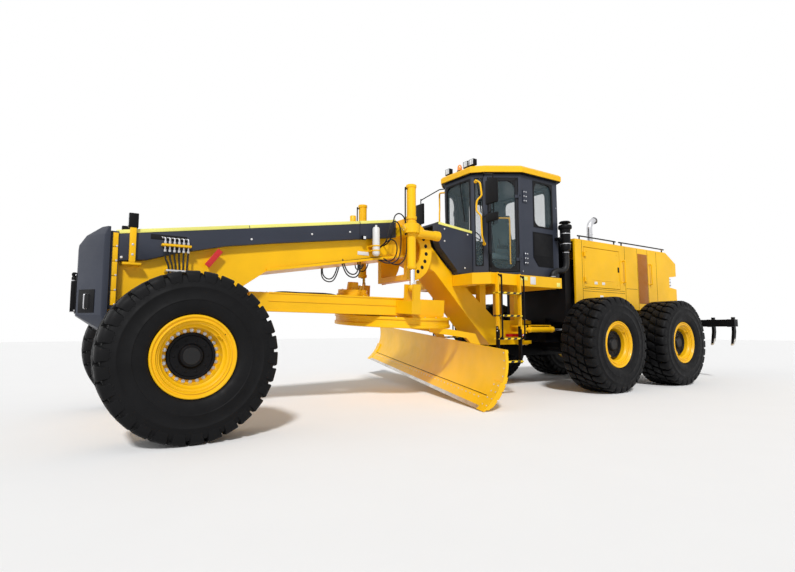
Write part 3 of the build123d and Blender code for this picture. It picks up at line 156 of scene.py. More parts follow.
AMBER = (0.9, 0.495, 0.002)
YELLOW = surface("yellow_paint", AMBER, 0.4, coat=0.06, specular=0.3)
DEEP_YELLOW = surface("rim_yellow", (0.84, 0.46, 0.003), 0.42, coat=0.05, specular=0.3, edge=0.004)
PALE = surface("pale_strip", (0.84, 0.8, 0.2), 0.45)
GREY = surface("grey_paint", (0.028, 0.033, 0.049), 0.42, specular=0.28)
BLACK = surface("black_paint", (0.004, 0.004, 0.005), 0.45, specular=0.12)
RUBBER = surface("tyre_rubber", (0.0042, 0.0042, 0.0048), 0.58, specular=0.14, cloud=0.25, cloud_scale=3.0,
    grain=260.0, bump=0.12, edge=0.004)
HOSE = surface("hose_rubber", (0.006, 0.006, 0.007), 0.45, specular=0.3, grain=400.0, bump=0.08, edge=0)
SEAL = surface("window_seal", (0.004, 0.004, 0.005), 0.6, specular=0.2, edge=0.003)
CHROME = surface("chrome", (0.8, 0.8, 0.82), 0.1, metal=1.0, cloud=0.02, bump=0.005, edge=0)
SILVER = surface("zinc_plate", (0.55, 0.55, 0.57), 0.32, metal=1.0, edge=0.002)
PIPE = surface("exhaust_steel", (0.62, 0.62, 0.64), 0.24, metal=1.0, cloud=0.12, cloud_scale=5.0, edge=0)
IRON = surface("engine_iron", (0.05, 0.05, 0.055), 0.55, metal=0.6)
STEEL = surface("edge_steel", (0.6, 0.57, 0.52), 0.3, metal=0.8, cloud=0.15, cloud_scale=4.0, edge=0.003)
BROWN = surface("vent_mesh", (0.4, 0.135, 0.006), 0.5, metal=0.2, grain=60.0, bump=0.3)
CLOTH = surface("seat_fabric", (0.085, 0.135, 0.145), 0.85, cloud=0.15, grain=500.0, bump=0.35, edge=0)
RED = surface("red_reflector", (0.55, 0.012, 0.012), 0.25, grain=90.0, bump=0.3)
ORANGE = surface("amber_lens", (0.95, 0.28, 0.03), 0.18, edge=0)
LENS = surface("lamp_lens", (0.75, 0.78, 0.8), 0.12, grain=70.0, bump=0.25, edge=0)
WHITE = surface("white_cap", (0.75, 0.75, 0.74), 0.4)
HAZARD = surface("hazard_stripe", (0.9, 0.62, 0.02), 0.45, stripes=((0.012, 0.012, 0.014), (1.0, 0.0, 1.0),
    6.0))
GLASS = clear("window_glass", (0.09, 0.15, 0.17), 0.16)
MIRROR = surface("mirror_face", (0.65, 0.68, 0.7), 0.06, metal=1.0, bump=0.002, edge=0)


# ---- mesh making ---------------------------------------------------------------------
SHARP_ANGLE = radians(38)


def axes_about(axis):
    """Two unit directions square to an axis."""
    axis = Vector(axis).normalized()
    helper = Vector(UP) if abs(axis.z) < 0.9 else Vector(AHEAD)
    first = helper.cross(axis).normalized()
    return first, axis.cross(first)


def around(first, second, radius, count):
    """Offsets evenly round a circle in the plane of two unit directions."""
    return [(first * cos(a) + second * sin(a)) * radius for a in (2 * pi * i / count for i in range(count))]


class Shape:
    """A mesh in the making: primitives are added one by one, each with its material.

    All are given for the left side, and come out mirrored while the side is -1."""

    def __init__(self, side=1):
        self.verts, self.faces, self.slots, self.materials = [], [], [], []
        self.side = side

    def both_sides(self):
        """Loops twice, first on the left side and then on the right."""
        for self.side in (1, -1):
            yield self.side
        self.side = 1

    def add(self, verts, faces, material):
        if material not in self.materials:
            self.materials.append(material)
        start = len(self.verts)
        self.verts += [(x, self.side * y, z) for x, y, z in verts]
        self.faces += [tuple(start + i for i in face) for face in faces]
        self.slots += [self.materials.index(material)] * len(faces)

    def solid(self, verts, faces, material, bevel=0.0):
        """A closed body with its edges rounded over."""
        if not bevel:
            self.add(verts, faces, material)
            return
        work = bmesh.new()
        made = [work.verts.new(v) for v in verts]
        for face in faces:
            work.faces.new([made[i] for i in face])
        bmesh.ops.bevel(work, geom=work.edges[:], offset=bevel, segments=2, profile=0.6, affect="EDGES",
            clamp_overlap=True)
        work.verts.index_update()
        self.add([v.co for v in work.verts], [[v.index for v in f.verts] for f in work.faces], material)
        work.free()

    def prism(self, outline, depth, material, bevel=0.004):
        """A flat outline of 3-D points, pushed along a direction."""
        outline = [Vector(p) for p in outline]
        normal = sum(((a.cross(b)) for a, b in zip(outline, outline[1:] + outline[:1])), Vector())
        if normal.dot(depth) > 0:
            outline.reverse()
        count = len(outline)
        verts = outline + [p + Vector(depth) for p in outline]
        faces = [tuple(range(count)), tuple(range(2 * count - 1, count - 1, -1))]
        faces += [(i, count + i, count + (i + 1) % count, (i + 1) % count) for i in range(count)]
        self.solid(verts, faces, material, bevel)

    def box(self, x, y, z, material, bevel=0.004):
        """A box between pairs of limits, which may come in either order."""
        (x0, x1), (y0, y1), (z0, z1) = sorted(x), sorted(y), sorted(z)
        self.prism([(x0, y0, z0), (x1, y0, z0), (x1, y1, z0), (x0, y1, z0)], (0, 0, z1 - z0), material,
            bevel)

    def bar(self, start, end, wide, tall, material, up=UP, bevel=0.004):
        """A rectangular bar between two points."""
        start, end = Vector(start), Vector(end)
        side = (end - start).cross(Vector(up)).normalized() * wide / 2
        rise = side.cross(end - start).normalized() * tall / 2
        self.prism([start - side - rise, start + side - rise, start + side + rise, start - side + rise],
            end - start, material, bevel)

    def lathe(self, origin, axis, profile, material, count=32, closed=False):
        """Turns (distance along, radius) pairs about an axis; a zero radius closes to a point."""
        origin, axis = Vector(origin), Vector(axis).normalized()
        verts, rings = [], []
        for along, radius in profile:
            if radius <= 0:
                rings.append([len(verts)] * count)
                verts.append(origin + axis * along)
                continue
            rings.append(range(len(verts), len(verts) + count))
            verts += [origin + axis * along + offset for offset in around(*axes_about(axis), radius, count)]
        faces = []
        pairs = list(zip(rings, rings[1:])) + ([(rings[-1], rings[0])] if closed else [])
        for low, high in pairs:
            for i in range(count):
                j = (i + 1) % count
                face = list(dict.fromkeys((low[i], low[j], high[j], high[i])))
                if len(face) > 2:
                    faces.append(face)
        self.add(verts, faces, material)

    def rod(self, start, end, radius, material, count=24, rim=0.003):
        """A round bar with its ends eased."""
        axis = Vector(end) - Vector(start)
        rim = min(rim, radius / 3, axis.length / 3)
        self.lathe(start, axis, ((0, 0), (0, radius - rim), (rim, radius), (axis.length - rim, radius),
            (axis.length, radius - rim), (axis.length, 0)), material, count)

    def band(self, at, axis, inner, outer, wide, material, count=32):
        """A flat ring about an axis."""
        self.lathe(at, axis, ((0, inner), (0, outer), (wide, outer), (wide, inner)), material, count, True)

    def bolt(self, at, axis, radius, material):
        """A hexagon head on its washer."""
        self.lathe(at, axis, ((0, 1.5 * radius), (0.25 * radius, 1.5 * radius), (0.25 * radius, 0)),
            material, 12)
        self.lathe(at, axis, ((0.2 * radius, radius), (0.9 * radius, radius), (1.05 * radius, 0.8 * radius),
            (1.05 * radius, 0)), material, 6)

    def ring_of_bolts(self, centre, axis, circle, count, radius, material):
        for offset in around(*axes_about(axis), circle, count):
            self.bolt(Vector(centre) + offset, axis, radius, material)

    def tube(self, points, radius, material, sides=10, steps=6):
        """A round tube along a smooth line through the points."""
        route = smooth_line([Vector(p) for p in points], steps)
        tangents = [(b - a).normalized() for a, b in zip(route, route[1:])]
        tangents.append(tangents[-1])
        normal = axes_about(tangents[0])[0]
        rings = []
        for at, tangent in zip(route, tangents):
            normal = (normal - tangent * normal.dot(tangent)).normalized()
            rings.append([at + offset for offset in around(normal, tangent.cross(normal), radius, sides)])
        self.loft(rings, material)

    def loft(self, rings, material, bevel=0.0):
        """A closed body through outlines of equal length, one above the other."""
        size = len(rings[0])
        verts = [point for ring in rings for point in ring]
        last = len(verts) - size
        faces = [tuple(range(size - 1, -1, -1)), tuple(range(last, last + size))]
        for start in range(0, last, size):
            faces += [(start + i, start + (i + 1) % size, start + size + (i + 1) % size, start + size + i)
                for i in range(size)]
        self.solid(verts, faces, material, bevel)

    def emit(self, name, body, slot, replaced=None, place=None):
        """Makes the object, rides it on a body and hides the node it replaces; slot, its finish, is not
        used.
        """
        mesh = bpy.data.meshes.new(name)
        mesh.from_pydata(self.verts, [], self.faces)
        for material in self.materials:
            mesh.materials.append(material)
        mesh.polygons.foreach_set("material_index", self.slots)
        if place is not None:
            mesh.transform(place)
        tidy = bmesh.new()
        tidy.from_mesh(mesh)
        bmesh.ops.recalc_face_normals(tidy, faces=tidy.faces[:])
        tidy.to_mesh(mesh)
        tidy.free()
        mesh.shade_smooth()
        mesh.set_sharp_from_angle(angle=SHARP_ANGLE)
        piece = put(name, mesh)
        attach(piece, body)
        if replaced:
            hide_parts(replaced)
        return piece


def smooth_line(points, steps):
    """Points of a Catmull-Rom line through the given ones."""
    ends = [2 * points[0] - points[1]] + points + [2 * points[-1] - points[-2]]
    line = []
    for a, b, c, d in zip(ends, ends[1:], ends[2:], ends[3:]):
        for i in range(steps):
            t = i / steps
            line.append(0.5 * (2 * b + (c - a) * t + (2 * a - 5 * b + 4 * c - d) * t * t
                + (3 * b - a - 3 * c + d) * t ** 3))
    return line + [points[-1]]


def bent(points, radius):
    """A route with its corners cut, so that a tube through it runs straight between bends."""
    points = [Vector(p) for p in points]
    route = [points[0]]
    for before, corner, after in zip(points, points[1:], points[2:]):
        route += [corner + (before - corner).normalized() * radius,
            corner + ((before - corner).normalized() + (after - corner).normalized()) * radius * 0.3,
            corner + (after - corner).normalized() * radius]
    return route + [points[-1]]


def hose(name, points, side, diameter, body):
    """A rubber hose with both ends in the machine, on one smooth spline, mirrored if the side is -1."""
    points = [(x, side * y, z) for x, y, z in points]
    data = bpy.data.curves.new(name, "CURVE")
    data.dimensions = "3D"
    data.resolution_u = 12
    spline = data.splines.new("NURBS")
    spline.points.add(len(points) - 1)
    for point, at in zip(spline.points, points):
        point.co = (*at, 1)
    spline.order_u = 3
    spline.use_endpoint_u = True
    piece = put(name, data)
    centreline = bpy.data.meshes.new_from_object(piece)
    along = [vertex.co.copy() for vertex in centreline.vertices]
    bpy.data.meshes.remove(centreline)
    data.bevel_depth = diameter / 2
    data.bevel_resolution = 3
    data.use_fill_caps = True
    data.materials.append(HOSE)
    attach(piece, body)
    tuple(points[0])
    sum((b - a).length for a, b in zip(along, along[1:]))


def middle(node):
    low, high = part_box(node)
    return (low + high) / 2


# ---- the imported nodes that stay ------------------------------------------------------
NODE_PAINT = {YELLOW: ("front_frame", "blade_saddle", "front_axle", "cab_platform", "cab_roof", "drawbar",
    "blade_rails", "tip_brackets", "circle_arms", "hood", "engine_door_left", "engine_door_right"),
    GREY: ("cab_frame", "cab_door_left", "cab_door_right"), BLACK: ("rear_frame", "tandem_cases",
    "knuckle_left", "knuckle_right", "lean_bracket_left", "lean_bracket_right", "ripper_arms",
    "ripper_beam"), GLASS: ("cab_glass", "door_glass_left", "door_glass_right"), IRON: ("engine",),}
for material, names in NODE_PAINT.items():
    for name in names:
        mesh = nodes[name].data
        mesh.materials.clear()
        mesh.materials.append(material)


# ---- tyres and rims ------------------------------------------------------------------
TYRE_R = 0.945
LUGS = 30
PITCH = 2 * pi / LUGS
SIDEWALL = ((0.296, 0.374), (0.299, 0.452), (0.312, 0.461), (0.334, 0.472), (0.35, 0.495), (0.362, 0.535),
    (0.3675, 0.575), (0.369, 0.612), (0.3735, 0.617), (0.3735, 0.625), (0.37, 0.63), (0.371, 0.7),
    (0.37, 0.745), (0.3735, 0.75), (0.3735, 0.76), (0.369, 0.768), (0.364, 0.8), (0.356, 0.836),
    (0.344, 0.868), (0.325, 0.888), (0.15, 0.897))
BLOCKS = (
    # stations out from the middle: (distance, top radius, half width and lead in lug pitches)
    ((0.01, TYRE_R, 0.3, 0.62), (0.08, TYRE_R, 0.4, 0.44), (0.15, TYRE_R, 0.34, 0.2)),
    ((0.18, TYRE_R, 0.27, 0.14), (0.24, 0.944, 0.38, 0.09), (0.31, 0.94, 0.4, 0.0),
     (0.34, 0.925, 0.39, 0.0), (0.354, 0.904, 0.37, 0.0), (0.3625, 0.88, 0.33, 0.0)),
)
LUG_DEEP = 0.065
LUG_EASE = 0.007


def tread_block(shape, stations, side, turn):
    """One rubber block, lofted outwards through its stations."""
    rings = []
    for out, top, half, lead in stations:
        ring = []
        for share, radius in ((-half, top - LUG_DEEP), (-half, top - LUG_EASE), (0.06 - half, top),
                (half - 0.06, top), (half, top - LUG_EASE), (half, top - LUG_DEEP)):
            angle = turn + (share + side * lead) * PITCH
            ring.append(Vector((radius * cos(angle), side * out, radius * sin(angle))))
        rings.append(ring)
    shape.loft(rings, RUBBER)


def tyre_shape():
    shape = Shape()
    shoulder = [(-y, r) for y, r in SIDEWALL]
    shape.lathe((0, 0, 0), LEFT, (*shoulder, *reversed(SIDEWALL)), RUBBER, 120, closed=True)
    for index in range(LUGS):
        for side in (-1, 1):
            turn = (index + 0.25 * side) * PITCH
            for stations in BLOCKS:
                tread_block(shape, stations, side, turn)
            for rib in (-0.17, 0.17):
                angle = turn + rib * PITCH
                radial = Vector((cos(angle), 0, sin(angle)))
                shape.bar(radial * 0.838 + Vector((0, side * 0.352, 0)),
                    radial * 0.8 + Vector((0, side * 0.3625, 0)), 0.012, 0.01, RUBBER, up=(0, side, 0),
                    bevel=0.003)
    return shape


RIM_BACK = ((-0.3263, 0.385), (-0.3263, 0.45), (-0.318, 0.4565), (-0.3005, 0.4565), (-0.3005, 0.3715),
    (0.3005, 0.3715), (0.3005, 0.4565), (0.318, 0.4565), (0.3263, 0.45), (0.3263, 0.434), (0.318, 0.427),
    (0.308, 0.42), (0.308, 0.406), (0.318, 0.401), (0.318, 0.392), (0.308, 0.387), (0.295, 0.376),
    (0.284, 0.362), (0.284, 0.352), (0.272, 0.347))
HUB_R = 0.262
HUB_LONG = {True: 0.034, False: 0.165}  # how far the hub stands out of the disc, steered or not
BOLT_CIRCLE = 0.284


def rim_shape(disc_out, steered):
    """The rim, dished to its disc, with the disc's bolts and the black hub face."""
    shape = Shape()
    disc_in = disc_out - 0.11
    dish = ((0.25, 0.336), (0.235, 0.316), (disc_out + 0.015, 0.306), (disc_out, 0.3), (disc_out, 0.131),
        (disc_in, 0.131), (disc_in, 0.33), (-0.3, 0.356))
    shape.lathe((0, 0, 0), LEFT, RIM_BACK + dish, DEEP_YELLOW, 96, closed=True)
    face = disc_out + 0.001
    drum = HUB_LONG[steered]
    shape.lathe((0, face, 0), LEFT, ((0, HUB_R), (drum - 0.006, HUB_R), (drum, HUB_R - 0.006),
        (drum, HUB_R - 0.03), (drum - 0.02, HUB_R - 0.04), (drum - 0.022, 0.14), (drum + 0.006, 0.128),
        (drum + 0.014, 0.118), (drum + 0.014, 0)), BLACK, 64)
    shape.lathe((0, face + drum + 0.014, 0), LEFT, ((0, 0.096), (0.004, 0.092), (0.004, 0)), HOSE, 48)
    count = 24 if steered else 20
    shape.ring_of_bolts((0, face, 0), LEFT, BOLT_CIRCLE, count, 0.0135, SILVER)
    shape.ring_of_bolts((0, face + drum - 0.021, 0), LEFT, 0.18, 10, 0.01, BLACK)
    for angle in ((2.5,) if steered else (2.4, 5.6)):
        radial = Vector((cos(angle), 0, sin(angle)))
        shape.bar(radial * 0.33 + Vector((0, 0.235, 0)), radial * 0.348 + Vector((0, 0.296, 0)), 0.06,
            0.016, DEEP_YELLOW, up=radial, bevel=0.004)
        shape.rod(radial * 0.395 + Vector((0, 0.306, 0)), radial * 0.395 + Vector((0, 0.324, 0)), 0.006,
            BLACK, 12)
    return shape


for wheel in ("front", "mid", "rear"):
    steered = wheel == "front"
    tyre = tyre_shape()
    rim = rim_shape(0.115 if steered else 0.035, steered)
    for side_name, side in SIDES:
        node = f"{wheel}_{side_name}"
        centre = middle(f"tyre_{node}")
        place = Matrix.Translation(centre) @ Matrix.Rotation(0 if side > 0 else pi, 4, "Z")
        tyre.emit(f"tread_{node}", f"wheel_{node}", "tyre_rubber", f"tyre_{node}", place)
        rim.emit(f"wheel_rim_{node}", f"wheel_{node}", "yellow_paint", f"rim_{node}", place)


# ---- blade: a rolled moldboard with its bolted edges ---------------------------------
axis_of = {joint["name"]: Vector(joint["axis"]) for joint in frame["joints"]}
blade_y = axis_of["blade_side_shift"].normalized()
blade_z = axis_of["circle_turn"].normalized()
blade_x = blade_y.cross(blade_z)
BLADE_TALL = 0.93
BLADE_THICK = 0.045
BLADE_LEAN = 0.3
BLADE_CURVE = 0.9
EDGE_TALL = 0.19
EDGE_THICK = 0.022
END_TALL = 0.43
END_WIDE = 0.23
BLADE_BOLTS = 0.152  # the spacing of the edge's bolts


def reach_of(node, axis):
    """How far a node reaches along a direction, lowest and highest."""
    along = [vertex.co.dot(axis) for vertex in nodes[node].data.vertices]
    return min(along), max(along)


blade_low, blade_high = reach_of("moldboard", blade_y)
# kept just inside the solid's ends
blade_low, blade_high = blade_low + 0.005, blade_high - 0.006
blade_front = reach_of("moldboard", blade_x)[1] - 2 * EDGE_THICK
blade_foot = reach_of("moldboard", blade_z)[0]
chord = sqrt(BLADE_LEAN ** 2 + BLADE_TALL ** 2)
sagitta_reach = sqrt(BLADE_CURVE ** 2 - chord ** 2 / 4)
curve_x = -BLADE_LEAN / 2 + sagitta_reach * BLADE_TALL / chord
curve_z = BLADE_TALL / 2 + sagitta_reach * BLADE_LEAN / chord


def face_at(z):
    """The moldboard's face, ahead of the cutting edge, at a height above it."""
    return curve_x - sqrt(BLADE_CURVE ** 2 - (z - curve_z) ** 2)


def blade_at(x, y, z):
    return blade_x * (blade_front + x) + blade_y * y + blade_z * (blade_foot + z)


def blade_sheet(shape, low, high, z_low, z_high, front, back, material, steps=20, bevel=0.0):
    """A curved sheet that follows the moldboard's face between two heights."""
    rise = [z_low + (z_high - z_low) * i / steps for i in range(steps + 1)]
    outline = ([blade_at(face_at(z) + front, low, z) for z in rise] + [blade_at(face_at(z) + back, low, z)
        for z in reversed(rise)])
    shape.prism(outline, blade_y * (high - low), material, bevel)


blade = Shape()
blade_sheet(blade, blade_low, blade_high, 0.02, BLADE_TALL, 0, -BLADE_THICK, YELLOW, 28)
blade_sheet(blade, blade_low + 0.002, blade_high - 0.002, 0.0, EDGE_TALL - 0.004, EDGE_THICK, 0.001, YELLOW,
    6)
blade_sheet(blade, blade_low + 0.002, blade_high - 0.002, 0.0, 0.045, EDGE_THICK + 0.001,
    EDGE_THICK - 0.002, STEEL, 3)
blade_sheet(blade, blade_low + 0.004, blade_high - 0.004, EDGE_TALL, EDGE_TALL + 0.007, 0.004, -0.001, SEAL,
    2)
blade_sheet(blade, blade_low, blade_high, BLADE_TALL - 0.05, BLADE_TALL - 0.002, -BLADE_THICK + 0.001,
    -BLADE_THICK - 0.012, YELLOW, 4)
for low in (blade_low, blade_high - END_WIDE):
    blade_sheet(blade, low, low + END_WIDE, 0.0, END_TALL, EDGE_THICK + 0.012, 0.001, YELLOW, 12)
for i in range(int((blade_high - blade_low - 2 * END_WIDE) / BLADE_BOLTS)):
    y = blade_low + END_WIDE + 0.08 + BLADE_BOLTS * i
    blade.bolt(blade_at(face_at(0.145) + EDGE_THICK, y, 0.145), blade_x, 0.009, SILVER)
for y in (blade_low + 0.05, blade_high - 0.05, blade_low + 0.18, blade_high - 0.18):
    for z in (0.08, 0.18, 0.28, 0.38):
        blade.bolt(blade_at(face_at(z) + EDGE_THICK + 0.012, y, z), blade_x, 0.009, SILVER)
for z in (0.52, 0.64, 0.76, 0.88):
    for y in (blade_low + 0.05, blade_high - 0.05):
        blade.bolt(blade_at(face_at(z) + 0.001, y, z), blade_x, 0.008, SILVER)
for z in (0.05, 0.17, 0.29, 0.41):
    blade_sheet(blade, blade_high - 0.012, blade_high - 0.001, z, z + 0.1, -BLADE_THICK + 0.002,
        -BLADE_THICK - 0.02, YELLOW, 3)
blade.emit("moldboard_sheet", "blade", "yellow_paint", "moldboard")

# ---- circle and drawbar --------------------------------------------------------------
at_joint = {joint["name"]: Vector(joint.get("pos_m", (0, 0, 0))) for joint in frame["joints"]}
circle_at = at_joint["circle_turn"]
ball_at = at_joint["drawbar_lift"]
ring_low, ring_high = (reach - circle_at.dot(blade_z) for reach in reach_of("circle", blade_z))
ring = Shape()
ring.lathe(circle_at, blade_z, ((ring_low, 0.953), (ring_low, 1.09), (ring_low + 0.01, 1.099),
    (ring_low + 0.06, 1.099), (ring_low + 0.066, 1.08), (ring_high - 0.05, 1.08),
    (ring_high - 0.044, 1.099), (ring_high - 0.006, 1.099), (ring_high, 1.092), (ring_high, 0.953)), YELLOW,
    144, closed=True)
ring.ring_of_bolts(circle_at + blade_z * (ring_high - 0.002), blade_z, 1.03, 24, 0.01, SILVER)
ring.emit("circle_ring", "circle", "yellow_paint", "circle")

bar_x = ball_at - circle_at
bar_length = bar_x.length
bar_x = bar_x.normalized()
bar_y = blade_z.cross(bar_x).normalized()
GEARBOX_AT = 0.95
drawbar = Shape()
gearbox = circle_at + bar_x * GEARBOX_AT + blade_z * 0.15
drawbar.lathe(gearbox, blade_z, ((-0.115, 0.258), (-0.1, 0.262), (0.01, 0.262), (0.01, 0.285),
    (0.04, 0.285), (0.045, 0.262), (0.112, 0.262), (0.122, 0.252), (0.122, 0.11), (0.255, 0.095),
    (0.262, 0.088), (0.262, 0)), YELLOW, 48)
drawbar.ring_of_bolts(gearbox + blade_z * 0.04, blade_z, 0.272, 16, 0.008, YELLOW)
drawbar.ring_of_bolts(gearbox + blade_z * 0.122, blade_z, 0.2, 8, 0.01, YELLOW)
for side in (-1, 1):
    near = circle_at + bar_x * 0.3 + bar_y * side * 0.884
    far = circle_at + bar_x * (bar_length - 0.42) + bar_y * side * 0.176
    for height, wide in ((0.146, 0.024), (0.02, 0.014), (-0.134, 0.024)):
        drawbar.bar(near + blade_z * height, far + blade_z * height, 0.02, wide, YELLOW, up=blade_z,
            bevel=0.005)
    for share in (0.05, 0.35, 0.65, 0.95):
        drawbar.bolt(near.lerp(far, share) + blade_z * 0.152 - bar_y * side * 0.06, blade_z, 0.011, SILVER)
drawbar.emit("drawbar_ridges", "drawbar", "yellow_paint")
for i in range(3):
    near = circle_at + bar_x * 0.3 + bar_y * (0.8 - 0.034 * i)
    far = circle_at + bar_x * (bar_length - 0.42) + bar_y * (0.14 - 0.034 * i)
    rises = ((0.52, -0.03), (0.56, 0.012), (0.66, 0.008 + 0.004 * i), (0.8, 0.006), (0.93, 0.014),
        (0.97, -0.03))
    route = [near.lerp(far, share) + blade_z * (0.158 + rise) for share, rise in rises]
    hose(f"drawbar_hose_{i + 1}", route, 1, 0.024, "drawbar")

# ---- lift cylinders ------------------------------------------------------------------
barrel_low, barrel_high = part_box("lift_barrels")
lift_x = (barrel_low.x + barrel_high.x) / 2
lift_y = barrel_high.y - 0.095
BARREL_PROFILE = ((0, 0.046), (0, 0.08), (0.012, 0.088), (0.055, 0.088), (0.062, 0.076), (0.56, 0.076),
    (0.565, 0.09), (0.82, 0.09), (0.825, 0.078), (0.85, 0.078), (0.854, 0.094), (0.9, 0.094), (0.905, 0.08),
    (1.4, 0.08), (1.41, 0.09), (1.452, 0.09), (1.46, 0.082), (1.46, 0))
barrels = Shape()
for _ in barrels.both_sides():
    foot = Vector((lift_x, lift_y, barrel_low.z))
    barrels.lathe(foot, UP, BARREL_PROFILE, YELLOW, 40)
    barrels.ring_of_bolts(foot + Vector((0, 0, 0.9)), UP, 0.084, 8, 0.007, YELLOW)
    barrels.tube(bent([foot + Vector((0.082, 0, 0.6)), foot + Vector((0.125, 0, 0.6)),
        foot + Vector((0.125, 0, 1.38)), foot + Vector((0.082, 0, 1.38))], 0.03), 0.012, BLACK, 8)
barrels.emit("lift_barrel_tubes", "front_frame", "yellow_paint", "lift_barrels")

for side_name, _ in SIDES:
    low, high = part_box(f"lift_rod_{side_name}")
    centre = Vector(((low.x + high.x) / 2, (low.y + high.y) / 2, low.z + 0.075))
    rod = Shape()
    ball = [(0.0725 * sin(a), 0.0725 * cos(a)) for a in (pi * i / 16 - pi / 2 for i in range(17))]
    rod.lathe(centre, LEFT, [(a, max(0, b)) for a, b in ball], YELLOW, 32)
    rod.lathe(centre, UP, ((0.05, 0), (0.05, 0.052), (0.105, 0.052), (0.115, 0.0445),
        (high.z - centre.z, 0.0445), (high.z - centre.z, 0)), CHROME, 32)
    rod.emit(f"lift_ram_{side_name}", f"lift_rod_{side_name}", "chrome", f"lift_rod_{side_name}")

# ---- articulation cylinders ----------------------------------------------------------
for side_name, _ in SIDES:
    low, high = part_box(f"articulation_barrel_{side_name}")
    y, z = (low.y + high.y) / 2, (low.z + high.z) / 2
    eye_x = high.x - 0.07
    barrel = Shape()
    barrel.lathe((low.x, y, z), AHEAD, ((0, 0.033), (0, 0.058), (0.008, 0.063), (0.06, 0.063),
        (0.066, 0.056), (0.7, 0.056), (0.706, 0.063), (0.755, 0.063), (0.765, 0.038), (0.88, 0.038),
        (0.88, 0)), YELLOW, 36)
    barrel.lathe((eye_x, y, z - 0.045), UP, ((0, 0.031), (0, 0.064), (0.006, 0.069), (0.084, 0.069),
        (0.09, 0.064), (0.09, 0.031)), YELLOW, 32, closed=True)
    barrel.tube(bent([(low.x + 0.09, y, z + 0.056), (low.x + 0.09, y, z + 0.085),
        (eye_x - 0.2, y, z + 0.085), (eye_x - 0.2, y, z + 0.055)], 0.02), 0.009, YELLOW, 8)
    barrel.emit(f"articulation_tube_{side_name}", f"articulation_barrel_{side_name}", "yellow_paint",
        f"articulation_barrel_{side_name}")

    low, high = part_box(f"articulation_rod_{side_name}")
    eye = Vector((low.x + 0.06, y, z))
    ram = Shape()
    ram.lathe(eye, AHEAD, ((0.03, 0), (0.03, 0.0315), (high.x - eye.x, 0.0315), (high.x - eye.x, 0)),
        CHROME, 32)
    ram.lathe(eye - Vector((0, 0, 0.04)), UP, ((0, 0), (0, 0.054), (0.005, 0.0595), (0.075, 0.0595),
        (0.08, 0.054), (0.08, 0)), BLACK, 32)
    ram.emit(f"articulation_ram_{side_name}", f"articulation_rod_{side_name}", "chrome",
        f"articulation_rod_{side_name}")

# ---- cab -----------------------------------------------------------------------------
ROOF_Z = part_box("cab_roof")[1].z
CAB_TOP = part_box("cab_roof")[0].z
DECK_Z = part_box("cab_platform")[1].z
DECK_EDGE = 1.129
LABEL_THICK = 0.0035
# the cab's corners in plan, left half
SCREEN_CORNER = Vector((1.83, 0.42, 0))
DOOR_POST = Vector((1.65, 0.6, 0))
REAR_POST = Vector((1.05, 0.98, 0))
TAIL_POST = Vector((-0.06, 0.98, 0))
TAIL_CORNER = Vector((-0.18, 0.7, 0))


class Panel:
    """One flat cab wall: distance along it from its front edge, height, and distance outward."""

    def __init__(self, front, rear):
        self.front = front
        self.length = (rear - front).length
        self.along = (rear - front).normalized()
        self.out = Vector((self.along.y, -self.along.x, 0))

    def at(self, along, height, out=0.0):
        return self.front + self.along * along + self.out * out + Vector((0, 0, height))


def rounded_loop(span, heights, radius, corner_steps=6):
    (a0, a1), (z0, z1) = span, heights
    loop = []
    for a, z, start in ((a1, z1, 0), (a0, z1, 1), (a0, z0, 2), (a1, z0, 3)):
        middle_a, middle_z = (a - radius if a == a1 else a + radius), (z - radius if z == z1
            else z + radius)
        loop += [(middle_a + radius * cos(t), middle_z + radius * sin(t))
            for t in (pi / 2 * (start + i / corner_steps) for i in range(corner_steps + 1))]
    return loop


def gasket(shape, panel, span, heights, width, radius, out, thick, material):
    """A window seal: square outside, round-cornered inside, standing on a panel."""
    outer = rounded_loop(span, heights, 0.012)
    inner = rounded_loop((span[0] + width, span[1] - width), (heights[0] + width, heights[1] - width),
        radius)
    verts = [panel.at(a, z, level) for level in (out, out + thick) for loop in (outer, inner)
        for a, z in loop]
    count = len(outer)
    faces = []
    for i in range(count):
        j = (i + 1) % count
        faces += [(i, j, count + j, count + i), (2 * count + i, 3 * count + i, 3 * count + j,
            2 * count + j), (i, 2 * count + i, 2 * count + j, j), (count + i, count + j, 3 * count + j,
            3 * count + i)]
    shape.add(verts, faces, material)


SCREEN_LOW, SCREEN_HIGH = DECK_Z + 0.2, CAB_TOP - 0.09
DOOR_LOW, DOOR_HIGH = DECK_Z + 0.092, CAB_TOP - 0.102
SIDE_LOW = DECK_Z + 1.02
cab = Shape()
centre_front = Panel(Vector((SCREEN_CORNER.x, 0.38, 0)), Vector((SCREEN_CORNER.x, -0.38, 0)))
centre_front.out = Vector(AHEAD)
gasket(cab, centre_front, (0, 0.76), (SCREEN_LOW, SCREEN_HIGH), 0.035, 0.1, -0.028, 0.032, SEAL)
tail = Panel(Vector((TAIL_CORNER.x, 0.62, 0)), Vector((TAIL_CORNER.x, -0.62, 0)))
gasket(cab, tail, (0, 1.24), (SIDE_LOW, SCREEN_HIGH), 0.035, 0.1, -0.028, 0.032, SEAL)
quarter = Panel(SCREEN_CORNER, DOOR_POST)
door = Panel(DOOR_POST, REAR_POST)
wall = Panel(REAR_POST, TAIL_POST)
